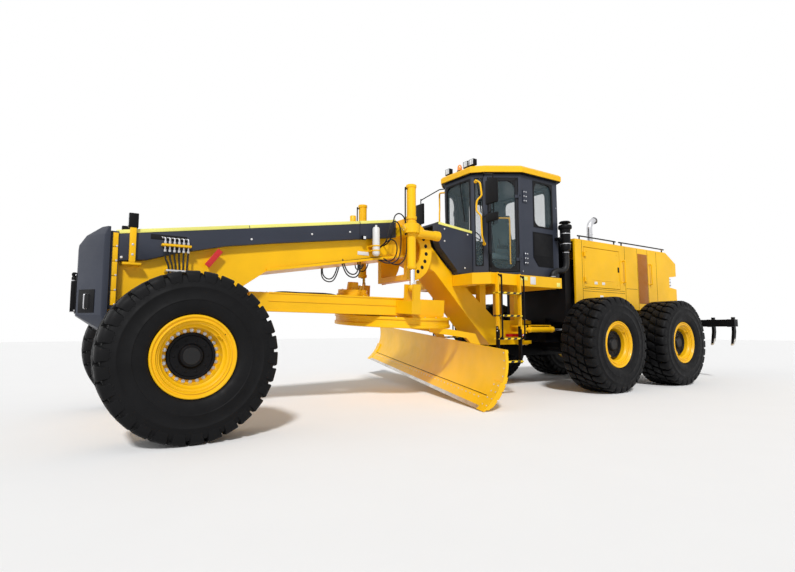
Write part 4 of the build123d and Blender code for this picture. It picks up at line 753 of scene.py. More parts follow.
for _ in cab.both_sides():
    gasket(cab, quarter, (0.045, quarter.length - 0.045), (SCREEN_LOW, SCREEN_HIGH), 0.018, 0.05, -0.028,
        0.032, SEAL)
    gasket(cab, wall, (0.36, 0.96), (SIDE_LOW, SCREEN_HIGH), 0.035, 0.14, -0.028, 0.034, SEAL)
    lower = ((0.33, SIDE_LOW - 0.1), (0.33, SIDE_LOW - 0.62), (0.48, SIDE_LOW - 0.8),
        (0.93, SIDE_LOW - 0.8), (0.93, SIDE_LOW - 0.1))
    cab.prism([wall.at(a, z, 0.001) for a, z in lower], wall.out * 0.01, BLACK, 0.004)
    cab.prism([wall.at(a, z, 0.011) for a, z in ((0.37, SIDE_LOW - 0.14), (0.37, SIDE_LOW - 0.58),
        (0.89, SIDE_LOW - 0.58), (0.89, SIDE_LOW - 0.14))], wall.out * 0.003, SEAL, 0.002)
    for z in (CAB_TOP - 0.46, DECK_Z + 0.36):
        cab.prism([wall.at(a, z + b, 0.001) for a, b in ((0.055, -0.13), (0.055, 0.13), (0.175, 0.13),
            (0.175, -0.13))], wall.out * 0.014, GREY, 0.004)
        for a in (0.085, 0.145):
            for b in (-0.09, 0, 0.09):
                cab.bolt(wall.at(a, z + b, 0.015), wall.out, 0.01, SILVER)
    for a, b in ((0.02, 0.1), (wall.length - 0.04, 0.12), (wall.length - 0.04, 1.5)):
        cab.bolt(wall.at(a, DECK_Z + b, 0.001), wall.out, 0.008, SILVER)
    cab.bar(quarter.at(0.1, SCREEN_HIGH - 0.02, 0.012), quarter.at(0.16, SCREEN_HIGH - 0.62, 0.012), 0.012,
        0.01, BLACK, up=quarter.out)
    cab.bar(quarter.at(0.115, SCREEN_HIGH - 0.1, 0.004), quarter.at(0.175, SCREEN_HIGH - 0.72, 0.004),
        0.022, 0.008, SEAL, up=quarter.out)
cab.bar(centre_front.at(0.3, SCREEN_HIGH, 0.016), centre_front.at(0.2, SCREEN_HIGH - 0.62, 0.016), 0.014,
    0.012, BLACK, up=AHEAD)
cab.bar(centre_front.at(0.29, SCREEN_HIGH - 0.15, 0.006), centre_front.at(0.17, SCREEN_HIGH - 0.85, 0.006),
    0.022, 0.01, SEAL, up=AHEAD)
skirt = [(p.x, p.y) for p in (TAIL_CORNER, TAIL_POST, REAR_POST, DOOR_POST, SCREEN_CORNER)]
skirt += [(x, -y) for x, y in reversed(skirt)]
grown = [(0.85 + (x - 0.85) * 1.055, y * 1.065) for x, y in skirt]
cab.prism([(x, y, CAB_TOP - 0.022) for x, y in grown], (0, 0, 0.0215), BLACK, 0.006)
for _ in cab.both_sides():
    for x0, x1, z0, z1, paint in ((0.85, 1.0, 2.11, 2.26, WHITE), (1.08, 1.28, 2.18, 2.25, PALE),
            (0.11, 0.22, 2.095, 2.18, PALE)):
        cab.box((x0, x1), (DECK_EDGE, DECK_EDGE + LABEL_THICK), (z0, z1), paint, 0.001)
cab.emit("cab_fittings", "front_frame", "grey_paint")

span = (0.057, door.length - 0.057)
for side_name, side in SIDES:
    leaf = Shape(side)
    gasket(leaf, door, span, (DOOR_LOW, DOOR_HIGH), 0.022, 0.04, 0.0008, 0.004, SEAL)
    gasket(leaf, door, (span[0] + 0.03, span[1] - 0.03), (DOOR_LOW + 0.03, DOOR_HIGH - 0.03), 0.026, 0.17,
        -0.028, 0.0315, SEAL)
    leaf.tube(bent([door.at(0.16, DOOR_LOW + 1.08, -0.075), door.at(0.5, DOOR_LOW + 1.08, -0.075),
        door.at(0.5, DOOR_LOW + 0.16, -0.075)], 0.06), 0.014, YELLOW)
    for a, z in ((0.16, DOOR_LOW + 1.08), (0.5, DOOR_LOW + 0.16)):
        leaf.rod(door.at(a, z, -0.078), door.at(a, z, -0.03), 0.012, YELLOW, 12)
    leaf.bar(door.at(0.085, DOOR_LOW + 0.1, 0.018), door.at(0.085, DOOR_LOW + 0.34, 0.018), 0.05, 0.034,
        BLACK, up=door.out, bevel=0.01)
    leaf.bar(door.at(0.1, DOOR_LOW + 0.14, 0.036), door.at(0.1, DOOR_LOW + 0.3, 0.036), 0.02, 0.012, SEAL,
        up=door.out, bevel=0.005)
    leaf.emit(f"cab_door_trim_{side_name}", f"cab_door_{side_name}", "grey_paint")

# rails, mirrors and roof lamps
RAIL_ROUTE = ((4.18, -0.004, -0.11), (4.18, 0.12, -0.11), (4.12, 0.135, -0.02), (3.86, 0.135, 0.01),
    (3.76, 0.13, -0.09), (3.56, 0.13, -0.1), (3.45, 0.13, -0.01), (3.06, 0.12, 0), (2.92, 0.11, 0.04),
    (2.92, -0.004, 0.04))
rails, mirrors, lamps = Shape(), Shape(), Shape()
MIRROR_X, MIRROR_Y = 1.95, 1.12
rail_post, mirror_post = quarter.length - 0.07, quarter.length - 0.024
for side in rails.both_sides():
    mirrors.side = side
    rails.tube(bent([quarter.at(rail_post + along, z, out) for z, out, along in RAIL_ROUTE], 0.035), 0.0178,
        YELLOW, 12)
    for z, _, along in (RAIL_ROUTE[0], RAIL_ROUTE[-1]):
        rails.rod(quarter.at(rail_post + along, z, 0), quarter.at(rail_post + along, z, 0.01), 0.034,
            YELLOW)
    arm = [quarter.at(mirror_post, 4.305, out) for out in (0, 0.13)]
    mirrors.tube(bent([*arm, (MIRROR_X, MIRROR_Y, 4.13), (MIRROR_X, MIRROR_Y, 3.18)], 0.05), 0.0118, BLACK,
        12)
    mirrors.tube([quarter.at(mirror_post, 3.42, 0.15), (MIRROR_X, MIRROR_Y, 3.47)], 0.009, BLACK, 8)
    for low, high in ((3.57, 4.03), (3.23, 3.39)):
        y = (MIRROR_Y - 0.148, MIRROR_Y + 0.148)
        mirrors.box((MIRROR_X + 0.008, MIRROR_X + 0.064), y, (low, high), BLACK, 0.02)
        mirrors.box((MIRROR_X + 0.005, MIRROR_X + 0.01), (y[0] + 0.016, y[1] - 0.016),
            (low + 0.016, high - 0.016), MIRROR, 0.001)
        mirrors.box((MIRROR_X - 0.016, MIRROR_X + 0.02), (MIRROR_Y - 0.02, MIRROR_Y + 0.02),
            ((low + high) / 2 - 0.03, (low + high) / 2 + 0.03), BLACK, 0.006)
lamp_x = middle("roof_lamps").x


def work_lamp(shape, x, y, z, wide, tall, deep, facing=1):
    """A square work lamp with a rimmed lens, facing forward or back."""
    shape.box((x - deep, x + deep), (y - wide, y + wide), (z, z + tall), BLACK, 0.012)
    face = x + facing * deep
    shape.box((face - 0.002, face + facing * 0.005), (y - wide + 0.012, y + wide - 0.012),
        (z + 0.012, z + tall - 0.012), LENS, 0.003)
    for share in (-0.5, 0.5):
        shape.box((face, face + facing * 0.008), (y + share * wide - 0.004, y + share * wide + 0.004),
            (z + 0.01, z + tall - 0.01), BLACK, 0.002)


for y in (-0.33, 0.24, 0.41):
    work_lamp(lamps, lamp_x - 0.002, y, ROOF_Z + 0.034, 0.074, 0.13, 0.05)
    lamps.rod((lamp_x, y, ROOF_Z), (lamp_x, y, ROOF_Z + 0.04), 0.02, BLACK)
    lamps.box((lamp_x - 0.045, lamp_x + 0.045), (y - 0.03, y + 0.03), (ROOF_Z, ROOF_Z + 0.008), BLACK,
        0.002)
lamps.lathe((lamp_x, 0.02, ROOF_Z), UP, ((0, 0), (0, 0.06), (0.03, 0.06), (0.034, 0.054), (0.034, 0)),
    BLACK, 32)
lamps.lathe((lamp_x, 0.02, ROOF_Z + 0.034), UP, ((0, 0.05), (0.085, 0.046), (0.115, 0.034), (0.13, 0.012),
    (0.132, 0)), ORANGE, 32)
lamps.prism([(0.06, 0.78, ROOF_Z), (0.2, 0.78, ROOF_Z), (0.1, 0.78, ROOF_Z + 0.09),
    (0.07, 0.78, ROOF_Z + 0.09)], (0, 0.03, 0), BLACK, 0.006)
for shape, name, node, slot in ((rails, "cab_grab_rails", "cab_rails", "yellow_paint"),
        (mirrors, "mirror_set", "mirrors", "black_paint"), (lamps, "roof_light_bar", "roof_lamps",
        "black_paint")):
    shape.emit(name, "front_frame", slot, node)


# ---- seat, console and steering wheel ------------------------------------------------
def cushion(name, centre, size, crown, tilt=0.0, squareness=0.38):
    """A crowned, stuffed pad with a sewn channel round its edge."""
    verts, faces = [], []
    rows, columns = 18, 36
    for i in range(rows + 1):
        v = pi * (i / rows - 0.5)
        for j in range(columns):
            u = 2 * pi * j / columns
            reach = abs(cos(v)) ** squareness
            x = abs(cos(u)) ** squareness * (1 if cos(u) > 0 else -1) * reach
            y = abs(sin(u)) ** squareness * (1 if sin(u) > 0 else -1) * reach
            z = abs(sin(v)) ** squareness * (1 if sin(v) > 0 else -1)
            inner = max(abs(x), abs(y))
            lift = crown * (1 - inner ** 2) - (0.1 if 0.62 < inner < 0.74 else 0)
            verts.append(Vector((x * size[0], y * size[1], z * size[2] * (1 + lift))))
    for i in range(rows):
        for j in range(columns):
            k = (j + 1) % columns
            faces.append((i * columns + j, i * columns + k, (i + 1) * columns + k, (i + 1) * columns + j))
    faces += [tuple(range(columns - 1, -1, -1)), tuple(range(rows * columns, (rows + 1) * columns))]
    pad = Shape()
    pad.add(verts, faces, CLOTH)
    place = Matrix.Translation(centre) @ Matrix.Rotation(tilt, 4, "Y")
    pad.emit(name, "front_frame", "seat_fabric", place=place)


seat_z = DECK_Z + 0.49
cushion("seat_pad", (0.84, 0, seat_z), (0.262, 0.252, 0.066), 0.35)
cushion("seat_back_pad", (0.56, 0, seat_z + 0.42), (0.37, 0.24, 0.058), 0.35, tilt=radians(-80))
cushion("head_pad", (0.49, 0, seat_z + 0.87), (0.09, 0.15, 0.045), 0.3, tilt=radians(-80))
station = Shape()
station.box((0.7, 0.98), (-0.15, 0.15), (DECK_Z + 0.062, DECK_Z + 0.18), BLACK, 0.01)
for i in range(5):
    z = DECK_Z + 0.18 + 0.045 * i
    station.box((0.72 + 0.01 * (i % 2), 0.96 - 0.01 * (i % 2)), (-0.14, 0.14), (z, z + 0.045), SEAL, 0.01)
station.box((0.6, 1.08), (-0.24, 0.24), (DECK_Z + 0.405, DECK_Z + 0.44), BLACK, 0.012)
for _ in station.both_sides():
    station.box((0.62, 1.02), (0.27, 0.37), (seat_z + 0.16, seat_z + 0.24), BLACK, 0.02)
    station.rod((0.98, 0.32, seat_z + 0.24), (1.0, 0.32, seat_z + 0.36), 0.018, BLACK)
station.bar((1.64, 0, DECK_Z + 0.062), (1.5, 0, DECK_Z + 0.84), 0.23, 0.15, BLACK, up=AHEAD, bevel=0.03)
wheel_axis = Vector((-0.58, 0, 0.81))
station.lathe((1.465, 0, DECK_Z + 0.86), wheel_axis, ((0, 0.02), (0.06, 0.035), (0.068, 0.04), (0.072, 0)),
    BLACK, 24)
wheel_at = Vector((1.425, 0, DECK_Z + 0.912))
rim_points = [wheel_at + offset for offset in around(*axes_about(wheel_axis), 0.172, 24)]
station.tube([*rim_points, rim_points[0]], 0.013, SEAL, 8, 2)
for offset in around(*axes_about(wheel_axis), 0.17, 3):
    station.rod(wheel_at, wheel_at + offset, 0.01, BLACK, 10)
station.box((1.56, 1.6), (-0.42, -0.16), (DECK_Z + 0.85, DECK_Z + 1.06), BLACK, 0.012)
station.emit("operator_controls", "front_frame", "black_paint", "operator_station")

# ---- ladders -------------------------------------------------------------------------
LADDERS = ((1, 1.35), (-1, 0.9))
LADDER_WIDE = 0.58
RUNGS = (0.63, 1.05, 1.47, 1.89)
DECK_Y = 1.13
ladders = Shape()
for side, rear in LADDERS:
    ladders.side = side
    for x in (rear, rear + LADDER_WIDE):
        y = (DECK_Y, DECK_Y + 0.078)
        ladders.box((x, x + 0.03), y, (1.24, DECK_Z), YELLOW, 0.006)
        ladders.box((x - 0.004, x + 0.034), (y[0], DECK_Y + 0.07), (0.612, 1.3), BLACK, 0.008)
        for z in (1.265, 1.215):
            ladders.bolt((x + 0.034 if x > rear else x - 0.004, DECK_Y + 0.036, z),
                (1 if x > rear else -1, 0, 0), 0.009, SILVER)
        ladders.tube(bent([(x + 0.015, DECK_Y + out, z) for out, z in ((0.075, 1.06), (0.15, 1.1),
            (0.15, 2.2), (0.075, 2.24))], 0.05), 0.0155, BLACK, 12)
    for z in RUNGS:
        y = (DECK_Y - 0.058, DECK_Y + 0.098)
        ladders.box((rear, rear + LADDER_WIDE + 0.03), y, (z + 0.004, z + 0.034), HAZARD, 0.006)
        for i in range(9):
            x = rear + 0.035 + 0.064 * i
            ladders.box((x, x + 0.034), (y[0] + 0.012, y[1] - 0.012), (z + 0.032, z + 0.0375), HAZARD,
                0.002)
ladders.emit("ladder_pair", "front_frame", "yellow_paint", "ladders")

# ---- air cleaner, exhaust and hood ---------------------------------------------------
CLEANER = (-0.1, 1.13)
cleaner = Shape()
cleaner.lathe((*CLEANER, 2.86), UP, ((0, 0), (0, 0.07), (0.01, 0.098), (0.06, 0.104), (0.12, 0.104),
    (0.128, 0.098), (0.15, 0.098), (0.158, 0.104), (0.33, 0.104), (0.336, 0.098), (0.356, 0.098),
    (0.362, 0.104), (0.44, 0.106), (0.462, 0.134), (0.48, 0.139), (0.52, 0.137), (0.54, 0.12),
    (0.548, 0.062), (0.582, 0.058), (0.584, 0.118), (0.596, 0.119), (0.618, 0.095), (0.619, 0)), BLACK, 40)
for z in (2.992, 3.205, 3.312):
    cleaner.band((*CLEANER, z), UP, 0.104, 0.107, 0.016, SILVER, 40)
duct = [(*CLEANER, 2.9), (*CLEANER, 2.56), (-0.02, 1.105, 2.45), (0.14, 1.075, 2.43), (0.235, 1.058, 2.37),
    (0.25, 1.055, DECK_Z + 0.001)]
cleaner.tube(duct, 0.06, HOSE, 20, 8)
for z in (2.7, 2.77, 2.84):
    cleaner.band((*CLEANER, z), UP, 0.058, 0.066, 0.02, HOSE)
cleaner.band((*CLEANER, 2.815), UP, 0.06, 0.069, 0.014, SILVER)
cleaner.band((0.25, 1.055, DECK_Z + 0.02), UP, 0.06, 0.0635, 0.014, SILVER)
cleaner.box((CLEANER[0] + 0.06, 0.06), (0.981, CLEANER[1]), (3.083, 3.137), BLACK, 0.006)
cleaner.emit("air_cleaner_stack", "front_frame", "black_paint", "air_cleaner")

HOOD_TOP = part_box("exhaust")[0].z
EXHAUST = Vector((-2.0, 0.4, HOOD_TOP))
pipe = Shape()
pipe.lathe(EXHAUST, UP, ((0, 0.094), (0.01, 0.094), (0.014, 0.084), (0.11, 0.08), (0.12, 0.066),
    (0.12, 0.06), (0, 0.06)), GREY, 40, closed=True)
elbow = [EXHAUST + Vector(p) for p in ((0, 0, 0.05), (0, 0, 0.38), (-0.006, 0, 0.5), (-0.045, 0, 0.59),
    (-0.12, 0, 0.652), (-0.215, 0, 0.688))]
pipe.tube(elbow, 0.0655, PIPE, 28, 8)
# a dark disc in the pipe's mouth: painted shade in place of the open pipe's inside
pipe.rod(elbow[-1] + Vector((0.004, 0, -0.0016)), elbow[-1] + Vector((-0.004, 0, 0.0016)), 0.058, SEAL, 28)
pipe.lathe(elbow[-1], elbow[-1] - elbow[-2], ((-0.03, 0.066), (-0.024, 0.086), (-0.006, 0.088),
    (-0.004, 0.066)), PIPE, 28, closed=True)
pipe.band(EXHAUST + Vector((0, 0, 0.3)), UP, 0.064, 0.071, 0.02, SILVER)
pipe.emit("exhaust_stack", "rear_frame", "exhaust_steel", "exhaust")

HOOD_Y = 0.95
HOOD_TAIL = -4.84
SEAM_Y = HOOD_Y + 0.0005
hood = Shape()
for _ in hood.both_sides():
    # dark joint lines between the sheets, upright or level
    for (x0, z0), (x1, z1) in (((-2.52, 3.19), (-2.52, 1.72)), ((-3.05, 3.19), (-3.05, 1.72)),
            ((-3.5, 3.19), (-3.5, 1.72)), ((-0.9, 2.13), (-2.48, 2.13)), ((-2.56, 2.2), (-3.01, 2.2)),
            ((-0.9, 2.08), (-2.48, 2.08)), ((-0.89, 3.19), (-0.89, 1.72)), ((-3.9, 3.18), (-3.9, 1.72))):
        hood.bar((x0, SEAM_Y, z0), (x1, SEAM_Y, z1), 0.004, 0.007, SEAL, up=AHEAD if x0 == x1 else UP,
            bevel=0)
    hood.box((-3.48, -3.07), (HOOD_Y, HOOD_Y + 0.003), (1.86, 3.08), BROWN, 0.001)
    for i in range(40):
        z = 1.875 + 0.03 * i
        hood.box((-3.475, -3.075), (HOOD_Y, HOOD_Y + 0.008), (z, z + 0.012), BROWN, 0.002)
    for x in (-2.42, -3.56):
        hood.tube(bent([(x, HOOD_Y + out, z) for out, z in ((-0.002, 2.34), (0.07, 2.34), (0.07, 2.84),
            (-0.002, 2.84))], 0.035), 0.015, YELLOW, 12)
    for x0, x1 in ((-2.5, HOOD_TAIL + 0.54), (-0.9, -2.2)):
        hood.tube(bent([(x, HOOD_Y - 0.06, HOOD_TOP + z) for x, z in ((x0, -0.002), (x0, 0.09), (x1, 0.09),
            (x1, -0.002))], 0.035), 0.0155, BLACK, 12)
    hood.box((-4.595, -4.49), (0.698, 0.942), (2.356, 2.544), BLACK, 0.01)
    for z in (2.375, 2.46):
        for lens_y in (0.715, 0.79, 0.865):
            hood.box((-4.6, -4.59), (lens_y, lens_y + 0.065), (z, z + 0.07), RED if lens_y > 0.8 else LENS,
                0.004)
        hood.box((-4.58, -4.505), (0.94, 0.9455), (z, z + 0.07), LENS, 0.002)
    for x in (-0.78, -1.6, -2.3, -2.8, -3.3, -4.1):
        hood.bolt((x, SEAM_Y, 1.745), LEFT, 0.007, YELLOW)
    hood.box((-1.62, -1.5), (HOOD_Y, HOOD_Y + 0.004), (1.93, 2.0), WHITE, 0.001)
hood.box((-0.72, -4.28), (-0.78, 0.78), (HOOD_TOP + 0.001, HOOD_TOP + 0.014), GREY, 0.005)
for x in (-1.1, -2.9, -3.7):
    hood.box((x - 0.22, x + 0.22), (-0.42, 0.22), (HOOD_TOP + 0.013, HOOD_TOP + 0.034), GREY, 0.01)
hood.lathe((-2.55, 0.35, HOOD_TOP + 0.013), UP, ((0, 0.05), (0.04, 0.05), (0.046, 0.06), (0.06, 0.06),
    (0.064, 0)), BLACK, 24)
for i in range(14):
    x = -0.76 - 0.034 * i
    hood.box((x, x + 0.016), (-0.6, -0.46), (HOOD_TOP + 0.013, HOOD_TOP + 0.022), SEAL, 0.002)
hood.emit("hood_trim", "rear_frame", "yellow_paint")

for side_name, side in SIDES:
    hatch = Shape(side)
    for x in (-2.18, -1.06):
        for z in (2.26, 2.96):
            hatch.bolt((x, SEAM_Y, z), LEFT, 0.008, YELLOW)
    hatch.box((-2.265, -2.215), (HOOD_Y, HOOD_Y + 0.012), (2.56, 2.68), BLACK, 0.006)
    hatch.box((-2.05, -1.25), (HOOD_Y - 0.001, HOOD_Y + 0.005), (2.33, 2.34), YELLOW, 0.002)
    for x in (-1.7, -1.42):
        hatch.box((x, x + 0.11), (HOOD_Y, HOOD_Y + 0.003), (2.24, 2.3), WHITE, 0.001)
    hatch.emit(f"engine_door_trim_{side_name}", f"engine_door_{side_name}", "yellow_paint")

grille_low, grille_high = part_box("rear_grille")
grille = Shape()
grille.box((grille_low.x + 0.012, grille_high.x), (grille_low.y, grille_high.y),
    (grille_low.z, grille_high.z), BLACK, 0.003)
for i in range(22):
    z = grille_low.z + 0.012 + 0.0158 * i
    grille.bar((grille_low.x + 0.006, grille_low.y + 0.01, z), (grille_low.x + 0.006, grille_high.y - 0.01,
        z), 0.012, 0.006, GREY, bevel=0.001)
for y in (-0.79, -0.4, 0, 0.4, 0.79):
    grille.box((grille_low.x, grille_low.x + 0.014), (y - 0.01, y + 0.01), (grille_low.z, grille_high.z),
        BLACK, 0.002)
grille.emit("rear_grille_slats", "rear_frame", "black_paint", "rear_grille")

# ---- beam: covers, lamp posts, hoses, reflector --------------------------------------
COVER_Y = 0.48
BEAM_Y = 0.381
NECK_Y = 0.312
LAMP_POST_X = 7.81
SUPPLY_X, SUPPLY_Y = [7.135 + 0.058 * i for i in range(6)], 0.506
beam = Shape()
COVER_BACK = 0.3805
COVER_FRONT_X, COVER_REAR_X = 8.0, 3.7
COVER_FRONT_TOP, COVER_REAR_TOP = 2.5, 3.165
COVER_SIDE = ((COVER_FRONT_X, 2.11), (7.63, 2.15), (7.27, 2.27), (6.61, 2.43), (5.84, 2.55),
    (COVER_REAR_X, 2.852), (COVER_REAR_X, 3.163), (COVER_FRONT_X, 2.498))
NECK_SIDE = ((1.9, 3.16), (1.9, 2.3), (2.29, 2.3), (2.29, 2.37), (2.68, 2.74), (2.75, 2.88), (2.75, 3.25))
covers = Shape()
for _ in covers.both_sides():
    covers.prism([(x, COVER_BACK, z) for x, z in COVER_SIDE], (0, COVER_Y - COVER_BACK, 0), GREY, 0.01)
    covers.prism([(x, NECK_Y, z) for x, z in NECK_SIDE], (0, COVER_Y - NECK_Y, 0), GREY, 0.01)
covers.prism([(1.9, -0.479, 3.112), (2.749, -0.479, 3.202), (2.749, -0.479, 3.248), (1.9, -0.479, 3.158)],
    (0, 0.958, 0), GREY, 0.008)
covers.emit("beam_cover_panels", "front_frame", "grey_paint", "beam_covers")


def cover_top(x):
    """Height of the beam cover's top edge."""
    share = (COVER_FRONT_X - x) / (COVER_FRONT_X - COVER_REAR_X)
    return COVER_FRONT_TOP + share * (COVER_REAR_TOP - COVER_FRONT_TOP)


def cover_strip(front, back):
    """A pale strip over the beam cover's top edge, between two places (x, height)."""
    for y, drop, wide, tall in ((COVER_Y - 0.045, -0.003, 0.09, 0.008), (COVER_Y + 0.002, 0.02, 0.006,
            0.046)):
        beam.bar(*((x, y, z - drop) for x, z in (front, back)), wide, tall, PALE, bevel=0.002)


for _ in beam.both_sides():
    for x0, x1 in ((7.995, 6.3), (6.29, 4.44), (4.425, 3.705)):
        cover_strip((x0, cover_top(x0)), (x1, cover_top(x1)))
    cover_strip((2.745, 3.249), (1.905, 3.159))
    beam.bar((4.432, COVER_Y + 0.001, cover_top(4.432) - 0.05), (4.432, COVER_Y + 0.001, 2.73), 0.006,
        0.004, SEAL, up=LEFT, bevel=0)
    for x, z in ((7.93, 2.16), (6.26, 2.56), (5.3, 2.74), (4.62, 2.85), (2.6, 2.9), (2.1, 2.42),
            (2.6, 3.13), (2.02, 3.08)):
        beam.lathe((x, COVER_Y, z), LEFT, ((0, 0.016), (0.004, 0.016), (0.009, 0.011), (0.01, 0)), WHITE,
            20)
    beam.box((4.33, 4.4), (COVER_Y, COVER_Y + 0.045), (2.74, 2.81), BLACK, 0.008)
    beam.box((4.341, 4.389), (COVER_Y + 0.044, COVER_Y + 0.049), (2.751, 2.799), LENS, 0.003)
    x = LAMP_POST_X
    beam.box((x - 0.037, x + 0.037), (COVER_Y - 0.012, COVER_Y + 0.047), (2.1, 2.552), YELLOW, 0.005)
    beam.box((x - 0.11, x + 0.11), (BEAM_Y, COVER_Y + 0.05), (2.068, 2.098), YELLOW, 0.005)
    beam.box((x - 0.057, x + 0.057), (COVER_Y - 0.062, COVER_Y + 0.052), (2.55, 2.742), BLACK, 0.012)
    beam.box((x + 0.056, x + 0.062), (COVER_Y - 0.048, COVER_Y + 0.038), (2.575, 2.72), LENS, 0.004)
    beam.bolt((x, COVER_Y + 0.047, 2.2), LEFT, 0.01, SILVER)
    beam.bolt((x, COVER_Y + 0.047, 2.33), LEFT, 0.01, SILVER)
    beam.box((7.965, 8.056), (BEAM_Y, 0.49), (1.5, 2.49), GREY, 0.004)
    for i in range(5):
        z = 1.545 + 0.186 * i
        beam.box((7.972, 8.034), (0.489, 0.499), (z, z + 0.18), YELLOW, 0.003)
        beam.bolt((7.985, 0.499, z + 0.008), LEFT, 0.008, SILVER)
    beam.bar((6.88, 0.489, 2.12), (6.7, 0.489, 2.355), 0.016, 0.08, RED, bevel=0.003)
    beam.bar((6.86, 0.43, 2.146), (6.72, 0.43, 2.329), 0.098, 0.03, YELLOW, bevel=0.003)
    beam.box((4.2, 4.42), (BEAM_Y, 0.386), (2.5, 2.56), WHITE, 0.001)
    beam.box((7.15, 7.6), (COVER_Y, COVER_Y + 0.003), (2.43, 2.5), SEAL, 0.001)
    beam.box((7.1, 7.47), (BEAM_Y, 0.56), (2.345, 2.375), YELLOW, 0.005)
    beam.box((7.11, 7.41), (BEAM_Y, 0.56), (2.005, 2.032), SILVER, 0.004)
    for x in SUPPLY_X:
        beam.tube(bent([(x + 0.035, 0.47, 2.462), (x, SUPPLY_Y, 2.462), (x, SUPPLY_Y, 2.3)], 0.022), 0.013,
            SILVER, 10)
        beam.rod((x, SUPPLY_Y, 2.305), (x, SUPPLY_Y, 2.27), 0.018, SILVER, 6)
        beam.rod((x, SUPPLY_Y, 2.385), (x, SUPPLY_Y, 2.415), 0.018, SILVER, 6)
for side_name, side in SIDES:
    for i, x in enumerate(SUPPLY_X):
        low_x = 7.15 + 0.045 * i
        route = ((x, SUPPLY_Y, 2.29), (x, SUPPLY_Y, 2.19), (low_x, 0.53, 2.09), (low_x, 0.53, 1.94),
            (low_x, 0.5, 1.82), (low_x, 0.4, 1.74))
        hose(f"supply_hose_{side_name}_{i + 1}", route, side, 0.025, "front_frame")
beam.lathe((4.14, COVER_Y + 0.045, 2.482), UP, ((0, 0), (0, 0.03), (0.02, 0.055), (0.04, 0.062),
    (0.465, 0.062), (0.49, 0.05), (0.5, 0.02), (0.53, 0.018), (0.53, 0)), WHITE, 36)
for z in (2.56, 2.64):
    beam.band((4.14, COVER_Y + 0.045, z), UP, 0.06, 0.068, 0.022, YELLOW, 36)
    beam.box((4.06, 4.22), (BEAM_Y, COVER_Y + 0.02), (z, z + 0.022), YELLOW, 0.003)
beam.lathe((4.3, 0, 3.02), UP, ((0, 0.08), (0.03, 0.08), (0.035, 0.055), (0.225, 0.055), (0.235, 0.048),
    (0.235, 0)), YELLOW, 32)
beam.tube(bent([(4.3, 0, 3.15), (4.3, -0.25, 3.15), (4.3, -0.25, 3.0)], 0.05), 0.022, YELLOW, 10)
for _ in beam.both_sides():
    beam.tube([(x, 0.4, z) for x, z in ((3.95, 2.49), (4.6, 2.375), (5.3, 2.255), (5.85, 2.16))], 0.016,
        HOSE, 8)
beam.emit("beam_fittings", "front_frame", "yellow_paint")

LOOPS = (
    ((3.9, 0.385, 2.7), (3.9, 0.54, 2.72), (3.88, 0.64, 2.86), (3.87, 0.645, 3.06), (3.84, 0.645, 3.2),
     (3.74, 0.645, 3.255), (3.64, 0.645, 3.2), (3.59, 0.645, 3.04), (3.58, 0.645, 2.7), (3.61, 0.64, 2.48),
     (3.7, 0.62, 2.36), (3.82, 0.58, 2.35), (3.9, 0.5, 2.42), (3.94, 0.375, 2.5)),
    ((4.01, 0.385, 2.64), (4.01, 0.53, 2.66), (3.97, 0.615, 2.78), (3.93, 0.62, 2.96), (3.89, 0.622, 3.07),
     (3.8, 0.625, 3.11), (3.72, 0.62, 3.05), (3.69, 0.62, 2.9), (3.69, 0.615, 2.66), (3.72, 0.61, 2.48),
     (3.8, 0.59, 2.39), (3.9, 0.54, 2.37), (3.99, 0.47, 2.4), (4.04, 0.375, 2.46)),
    ((4.06, 0.385, 2.62), (4.04, 0.51, 2.65), (3.96, 0.59, 2.75), (3.85, 0.61, 2.79), (3.76, 0.6, 2.71),
     (3.75, 0.58, 2.56), (3.8, 0.55, 2.44), (3.9, 0.48, 2.41), (3.99, 0.375, 2.45)),
    ((4.72, 0.375, 2.36), (4.71, 0.44, 2.22), (4.63, 0.445, 2.11), (4.48, 0.445, 2.095), (4.39, 0.44, 2.22),
     (4.37, 0.375, 2.4)),
    ((4.7, 0.375, 2.4), (4.69, 0.435, 2.27), (4.63, 0.445, 2.17), (4.52, 0.445, 2.14), (4.43, 0.435, 2.22),
     (4.41, 0.375, 2.38)),
)
for side_name, side in SIDES:
    for i, route in enumerate(LOOPS):
        hose(f"saddle_hose_{side_name}_{i + 1}", route, side, 0.022, "front_frame")

